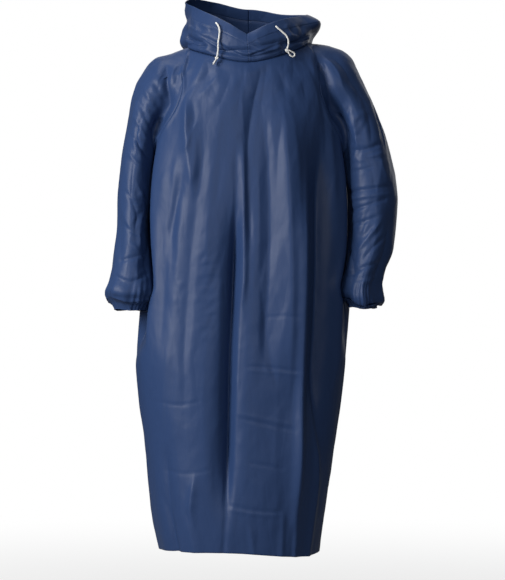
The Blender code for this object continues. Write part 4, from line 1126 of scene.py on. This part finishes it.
def addCord(side):
    knot, last = np.array(knots[side]), np.array(cordRoutes[side][-1])
    end = knot + unit(last - knot) * cordValues["knotRadius"] * 0.6
    route = cordRoute((*cordRoutes[side], tuple(end)))
    line = tubePiece("drawcord_" + side, route, cordDiameter / 2)
    turn = np.linspace(0, 2 * math.pi, 72, endpoint=False)
    shape = np.stack([np.sin(turn) + 2 * np.sin(2 * turn), -np.sin(3 * turn) * 1.2,
                      np.cos(turn) - 2 * np.cos(2 * turn)], axis=-1)
    lump = tubePiece("cord_knot_" + side, knot + shape * cordValues["knotSize"], cordValues["knotTube"],
                     closed=True)
    ends = [tuple(knot + (np.array(cordLoops[side][n]) - knot) * 0.5) for n in (0, -1)]
    bow = cordRoute((ends[0], *cordLoops[side], ends[1]))
    bow = tubePiece("cord_loop_" + side, bow, cordDiameter / 2 * 0.92)


for side in sides:
    addCord(side)
print("stage cords")


# Coat
front = bodyPanel("front", frontColumns)
back = bodyPanel("back", backColumns)
sleeves = {side: sleevePanel(side) for side in sides}
print("stage forms")


# Eases bends that run across a grid's columns, by weights from 0 to 1.
def easeRows(grid, weights, turns):
    for turn in range(turns):
        between = (grid[:-2] + grid[2:]) / 2 - grid[1:-1]
        grid[1:-1] += 0.5 * weights[1:-1, :, None] * between
    return grid


# Where the shoulders slope more than the main form: x and z in the front view, how far, radius.
coatPulls = (
    ((-0.186, -0.010), (0.004, 0.0, -0.010), 0.030),
    ((0.198, -0.002), (-0.004, 0.0, -0.006), 0.030),
)


def pulled(grid, pulls, share=1.0):
    for place, pull, radius in pulls:
        away = np.linalg.norm(grid[..., (0, 2)] - place, axis=-1) / radius
        grid = grid + (np.exp(-away ** 2) * share)[..., None] * np.array(pull)
    return grid


# The height of the gathers' wave, how far the cloth swells out and how far it droops, by z.
gathers = {
    "right": {"count": 11, "phase": 0.7,
              "at": (-0.620, -0.600, -0.592, -0.578, -0.566, -0.552, -0.530, -0.500),
              "size": (0.0040, 0.0044, 0.0022, 0.0030, 0.0040, 0.0034, 0.0014, 0.0),
              "swell": (-0.0030, -0.0040, -0.0065, -0.0020, 0.0060, 0.0065, 0.0030, 0.0),
              "droop": (-0.0045, -0.0040, -0.0040, -0.0070, -0.0145, -0.0125, -0.0060, 0.0)},
    "left": {"count": 10, "phase": 2.1,
             "at": (-0.620, -0.592, -0.584, -0.574, -0.566, -0.552, -0.530, -0.500),
             "size": (0.0040, 0.0044, 0.0022, 0.0030, 0.0040, 0.0032, 0.0014, 0.0),
             "swell": (-0.0030, -0.0040, -0.0065, -0.0020, 0.0050, 0.0055, 0.0020, 0.0),
             "droop": (-0.0045, -0.0040, -0.0040, -0.0070, -0.0135, -0.0115, -0.0060, 0.0)},
}
# Where the main form bends too sharply for film: the sleeve heads, and the sides below the cuffs.
# Middle height, reach, and the columns from the edge at which it starts and is full.
easingTurns = 90
easing = {
    "front": (-0.667, 0.060, 26, 6),
    "back": (-0.667, 0.060, 26, 6),
    "sleeve_right": (-0.077, 0.034, 4, 16),
    "sleeve_left": (-0.045, 0.034, 4, 16),
}
# Shares of what lifts the sleeves and the body, and how narrow their creases are.
sleeveShares = {"folds": 0.12, "creases": 0.85, "narrow": 0.68, "outerEdge": 0.65,
                "facetsFrom": (-0.03, -0.10)}
bodyShares = {"creases": 0.7, "narrow": 0.85, "yokeFrom": (-0.20, -0.06)}
fineSkirt = skirtRows * cloth["finerRows"]
fineTube = sleeveRows * cloth["finerRows"]


def sleeveLift(grid, side):
    z = grid[..., 2]
    middle = np.stack(sectionAt(sleeveSections[side], z)[:2], axis=-1)
    across = inSleeve(grid, side)[0]
    facing = middle[..., 1] - grid[..., 1]
    lift = sleeveShares["folds"] * sleeveFoldHeight(grid, side)
    lift += sleeveShares["creases"] * creaseLift(grid, side, facing, sleeveShares["narrow"])
    lift += facetLift(grid, middle, facets[side]) * smoothstep(*sleeveShares["facetsFrom"], z)
    lift += patchLift(grid, side)
    return lift * (1 - sleeveShares["outerEdge"] * smoothstep(0.55, 1.0, across))


def bodyLift(grid, facing, near):
    lift = bodyShares["creases"] * creaseLift(grid, "body", facing, bodyShares["narrow"])
    lift = (lift + facetLift(grid, axisPoint(grid[..., 2]), facets["body"])) * smoothstep(0.0, 0.03, near)
    return bodyFoldHeight(grid) + lift + patchLift(grid, "body")


grids = [
    finePanel(front, skirtRows, "body"),
    finePanel(back, skirtRows, "body")[:, ::-1],
    finePanel(sleeves["right"], sleeveRows, "sleeve")[:, ::-1],
    finePanel(sleeves["left"], sleeveRows, "sleeve"),
]
names = ["front", "back", "sleeve_right", "sleeve_left"]
lifted = []
for name, grid, normal in zip(names, grids, gridNormals(grids)):
    side = name.split("_")[1] if name.startswith("sleeve") else None
    z, rows = grid[..., 2], fromLast(len(grid))
    beside = fromEdges(grid.shape[1])[None, :]
    fade = seamFade(grid.shape, fineTube if side else fineSkirt)
    axis = axisPoint(z)
    facing = axis[..., 1] - grid[..., 1]
    shared = facetLift(grid, axis, facets["yoke"])
    shared = shared * smoothstep(*bodyShares["yokeFrom"], z) * fade
    shared = shared + crumpleLift(grid) + creaseLift(grid, "shoulders", facing)
    if side:
        lift = sleeveLift(grid, side)
    else:
        near = np.minimum(*[sleeveField(grid, side) for side in sides])
        lift = bodyLift(grid, facing, near)
        below = armholeDepth(grid)
        shared *= (1 - below) + below * smoothstep(-0.002, 0.02, near)
    lift = lift * fade + shared * smoothstep(0, 8, rows)[:, None]
    lift += grooveLift(grid.shape) * smoothstep(0, 3, rows)[:, None]
    height, reach, start, full = easing[name]
    weights = np.exp(-((z - height) / reach) ** 2) * smoothstep(start, full, beside)
    grid = easeRows(grid.copy(), weights, easingTurns)
    moved = pulled(grid + normal * lift[..., None], coatPulls)
    if side:
        moved += gatherShift(grid, side, gathers[side])
    lifted.append(moved)
print("stage folds")

for name, grid, normal in zip(names, lifted, gridNormals(lifted)):
    if name.startswith("sleeve"):
        addSheet(name, grid, fineTube + 1, coatFilm)
    else:
        addSheet(name, turnIn(grid, normal, cloth["hemTurn"], False), 0, coatFilm)
print("stage coat", {k: round(v, 3) for k, v in areas.items()})


# Cuffs
cuffValues = {"columns": 240, "rows": 26, "turn": 16, "endZ": {"right": -0.594, "left": -0.588}}
for side in sides:
    z = np.linspace(cuffValues["endZ"][side], sleeveLevels[0], cuffValues["rows"] + 1)[:, None]
    middleX, middleY, wide, deep = sectionAt(sleeveSections[side], z)
    turn = np.linspace(math.pi, -math.pi, cuffValues["columns"] + 1)
    x = middleX + sides[side] * wide * np.cos(turn)
    y = middleY - deep * np.sin(turn)
    grid = np.stack([x, y, z + 0 * x], axis=-1)
    if side == "right":
        grid = grid[:, ::-1]
    grid = grid + gatherShift(grid, side, gathers[side])
    grid[:, -1] = grid[:, 0]
    grid = turnIn(grid, gridNormals([grid])[0], cuffValues["turn"], False)
    addSheet("cuff_" + side, grid, len(grid), coatFilm)
print("stage cuffs")


# Hood
hood = {
    "rows": 64,
    "casing": 0.026,          # width of the turned casing along the face edge
    "casingRows": 14,
    "casingRise": 0.0010,     # how far the casing stands out
    "crease": 0.0015,         # height of the step below it
    "clearance": 0.0016,      # free space between the hood and the shoulders it lies on
    "foot": 0.0040,           # how soon above its seam the hood stands that clear
    "curvePoints": 161,
    "settleTurns": 6,         # how often it is pushed clear of the shoulders
    "step": 6,                # the hood has a column for so many of a sleeve's
    "folds": 0.6,             # shares of what lifts the film
    "creases": 1.3,
    "crumple": 0.8,
}
# The hood by azimuth from the centre front: the face edge x, y, z, then how far the cloth leans
# out and rises where it leaves the neckline, and where it reaches the edge.
hoodStations = {
    "right": rowsOf(8, (
        0, -4, -128, 22, 14, 20, 14, -20,
        20, -42, -116, 46, 18, 24, 16, -22,
        45, -84, -82, 70, 26, 26, 16, -30,
        70, -125, -30, 94, 30, 18, -2, -34,
        95, -148, 20, 111, 34, 12, -10, -40,
        120, -134, 82, 128, 80, -40, 50, -90,
        150, -78, 135, 126, 98, -190, 90, -220,
        180, 0, 152, 112, 100, -270, 100, -310,
    ), 1),
    "left": rowsOf(8, (
        0, -4, -128, 22, 14, 20, 14, -20,
        20, 36, -118, 44, 18, 22, 16, -20,
        45, 78, -84, 60, 24, 22, 18, -24,
        70, 110, -34, 72, 20, 10, 26, -20,
        95, 134, 14, 82, 18, 6, 40, -16,
        120, 126, 78, 90, 66, -30, 60, -60,
        150, 78, 134, 98, 98, -190, 90, -200,
        180, 0, 152, 112, 100, -270, 100, -310,
    ), 1),
}

# Slack folds across the front of the hood: azimuth, share of the height, tilt, half width, depth
hoodFolds = (
    (-6, 0.17, 0.00, 0.07, 0.006),
    (12, 0.30, 0.10, 0.06, 0.006),
    (-36, 0.40, -0.20, 0.07, 0.007),
    (-66, 0.30, -0.10, 0.09, 0.010),
    (58, 0.32, 0.10, 0.09, 0.012),
)


# Outer points of half the hood, from the neckline to the face edge, column by column from the
# centre front to the centre back.
def hoodPanel(side, neckline):
    azimuth = np.degrees(np.arctan2(np.abs(neckline[:, 0]), -neckline[:, 1]))
    azimuth[0], azimuth[-1] = 0.0, 180.0
    stations = hoodStations[side]
    behind = stations[-2]
    stations = (*stations, (360 - behind[0], -behind[1], *behind[2:]))
    x, y, z, lowOut, lowRise, highOut, highRise = smoothTable(stations, azimuth)
    edge = np.stack([x, y, z], axis=-1)
    outward = aim(np.radians(azimuth) * sides[side], np.zeros_like(azimuth))
    up = np.array([0.0, 0.0, 1.0])
    low = neckline + outward * lowOut[:, None] + up * lowRise[:, None]
    high = edge + outward * highOut[:, None] + up * highRise[:, None]
    fine = np.linspace(0, 1, hood["curvePoints"])[:, None, None]
    curve = ((1 - fine) ** 3 * neckline + 3 * fine * (1 - fine) ** 2 * low
             + 3 * fine ** 2 * (1 - fine) * high + fine ** 3 * edge)
    step = np.linalg.norm(np.diff(curve, axis=0), axis=-1)
    reach = np.concatenate([np.zeros((1, step.shape[1])), np.cumsum(step, axis=0)])
    columns = []
    for c in range(len(neckline)):
        total = reach[-1, c]
        lower = np.linspace(hood["foot"], total - hood["casing"] - hood["crease"],
                            hood["rows"] - hood["casingRows"])
        upper = total - np.linspace(hood["casing"], 0.0, hood["casingRows"])
        at = np.concatenate([[0.0], lower, upper])
        columns.append(np.stack([np.interp(at, reach[:, c], curve[:, c, k]) for k in range(3)], -1))
    grid = np.stack(columns, axis=1)
    for turn in range(hood["settleTurns"]):
        short = hood["clearance"] - shoulderField(grid)
        push = np.clip(short, 0.0, None)[..., None] * gradient(shoulderField, grid)
        grid[1:] += push[1:]
    return grid


# Slack folds of the hood's front, and the casing's thickness.
def hoodLift(grid, side):
    rows, columns = grid.shape[:2]
    azimuth = np.degrees(np.arctan2(grid[0, :, 0], -grid[0, :, 1]))[None, :]
    share = np.linspace(0, 1, rows)[:, None]
    lift = np.zeros((rows, columns))
    for centre, height, tilt, width, depth in hoodFolds:
        away = (azimuth - centre) / 30.0
        line = height + tilt * away
        lift -= depth * np.exp(-((share - line) / width) ** 2) * np.exp(-away ** 2)
    lift *= smoothstep(0.0, 0.15, share)
    lift[-hood["casingRows"]:] += hood["casingRise"]
    lift[-hood["casingRows"] - 1] -= hood["casingRise"]
    return lift


fineFront, fineBack = grids[0][-1], grids[1][-1][::-1]
middleFront, middleBack = len(fineFront) // 2, len(fineBack) // 2
# Corners drawn out of the hood, and hollows pressed into it: x and z in the front view, how far
# it moves, radius.
hoodPulls = (
    ((0.148, 0.060), (0.014, 0.0, 0.002), 0.014),
    ((0.158, 0.028), (-0.008, 0.0, 0.000), 0.016),
    ((-0.152, 0.046), (0.007, 0.0, 0.000), 0.014),
    ((-0.160, 0.074), (0.011, 0.0, 0.000), 0.016),
    ((-0.156, -0.004), (0.012, 0.0, 0.002), 0.016),
    ((0.140, -0.002), (-0.008, 0.0, 0.000), 0.014),
)
hoodGrids = []
for side in sides:
    if side == "right":
        ahead, behind = fineFront[middleFront::-1], fineBack[:middleBack + 1]
        strip = grids[2][-1][::-1][::hood["step"]]
    else:
        ahead, behind = fineFront[middleFront:], fineBack[:middleBack - 1:-1]
        strip = grids[3][-1][::hood["step"]]
    neckline = np.concatenate([ahead, strip[1:], behind[1:]])
    grid = hoodPanel(side, neckline)
    hoodGrids.append(grid[:, ::-1] if side == "right" else grid)
shaped = []
for side, grid, normal in zip(sides, hoodGrids, gridNormals(hoodGrids)):
    soft = smoothstep(0, 8, np.arange(len(grid)))[:, None]
    lift = hood["folds"] * hoodLift(grid, side)
    lift += hood["creases"] * creaseLift(grid, "hood", 0.03 - grid[..., 1]) * soft
    lift += (hood["crumple"] * crumpleLift(grid * 1.3) + facetLift(grid, np.zeros(2), facets["hood"])) * soft
    shaped.append(pulled(grid + normal * lift[..., None], hoodPulls, soft))
for side, grid, normal in zip(sides, shaped, gridNormals(shaped)):
    addSheet("hood_" + side, turnIn(grid, normal, hood["casingRows"], True), 0, hoodFilm)
print("stage hood", {k: round(v, 4) for k, v in areas.items()})


# Floor and light
floorValues = {"size": 60.0, "z": -1.44, "near": 0.6, "far": 3.6, "shadow": 0.5, "bounce": 0.22}
bpy.ops.mesh.primitive_plane_add(size=floorValues["size"], location=(0, 0, floorValues["z"]))
floor = bpy.context.object
floor.name = "floor"
floorMaterial = bpy.data.materials.new("floor")
floorMaterial.use_nodes = True
tree = floorMaterial.node_tree
tree.nodes.clear()
place = addNode(tree, "TexCoord")["Object"]
reach = addNode(tree, "VectorMath", {0: place}, operation="LENGTH")["Value"]
fade = addNode(tree, "MapRange", {"Value": reach, "From Min": floorValues["near"],
                                  "From Max": floorValues["far"], "To Min": floorValues["shadow"],
                                  "To Max": 0.0}, interpolation_type="SMOOTHSTEP")["Result"]
pale = addNode(tree, "BsdfDiffuse", {"Color": (0.92, 0.92, 0.92, 1.0)})[0]
glow = addNode(tree, "Emission", {"Color": (1.0, 1.0, 1.0, 1.0)})[0]
dim = addNode(tree, "BsdfDiffuse", {"Color": (*[floorValues["bounce"]] * 3, 1.0)})[0]
shown = addNode(tree, "MixShader", {0: fade, 1: glow, 2: pale})[0]
rays = addNode(tree, "LightPath")["Is Camera Ray"]
either = addNode(tree, "MixShader", {0: rays, 1: dim, 2: shown})[0]
addNode(tree, "OutputMaterial", {"Surface": either})
floor.data.materials.append(floorMaterial)

# name, place, target, size, power, colour
lamps = (
    ("key", (-2.7, -2.1, 0.7), (0.0, 0.0, -0.45), 1.4, 2.2, 130, (1.0, 0.985, 0.96)),
    ("front", (0.3, -4.2, 0.5), (0.0, 0.0, -0.5), 2.2, 1.6, 29, (0.97, 0.985, 1.0)),
    ("top", (-0.5, 0.2, 2.6), (0.0, 0.0, -0.3), 1.8, 1.6, 32, (1.0, 1.0, 1.0)),
    ("behind", (0.8, 3.8, 1.2), (0.0, 0.0, -0.4), 4.5, 3.5, 45, (0.97, 0.985, 1.0)),
)
for name, place, target, width, height, power, colour in lamps:
    data = bpy.data.lights.new(name, "AREA")
    data.shape = "RECTANGLE"
    data.size, data.size_y = width, height
    data.energy = power
    data.color = colour
    lamp = bpy.data.objects.new(name, data)
    scene.collection.objects.link(lamp)
    lamp.location = place
    way = np.array(target) - np.array(place)
    level = math.hypot(way[0], way[1])
    lamp.rotation_euler = (math.atan2(level, -way[2]), 0.0, math.atan2(-way[0], way[1]))

world = bpy.data.worlds.new("studio")
scene.world = world
world.use_nodes = True
sky = world.node_tree
sky.nodes.clear()
rays = addNode(sky, "LightPath")["Is Camera Ray"]
seen = addNode(sky, "Background", {"Color": (1.0, 1.0, 1.0, 1.0), "Strength": 1.0})[0]
given = addNode(sky, "Background", {"Color": (0.95, 0.97, 1.0, 1.0), "Strength": 0.10})[0]
either = addNode(sky, "MixShader", {0: rays, 1: given, 2: seen})[0]
addNode(sky, "OutputWorld", {"Surface": either})
scene.view_settings.view_transform = "Standard"
print("stage light")
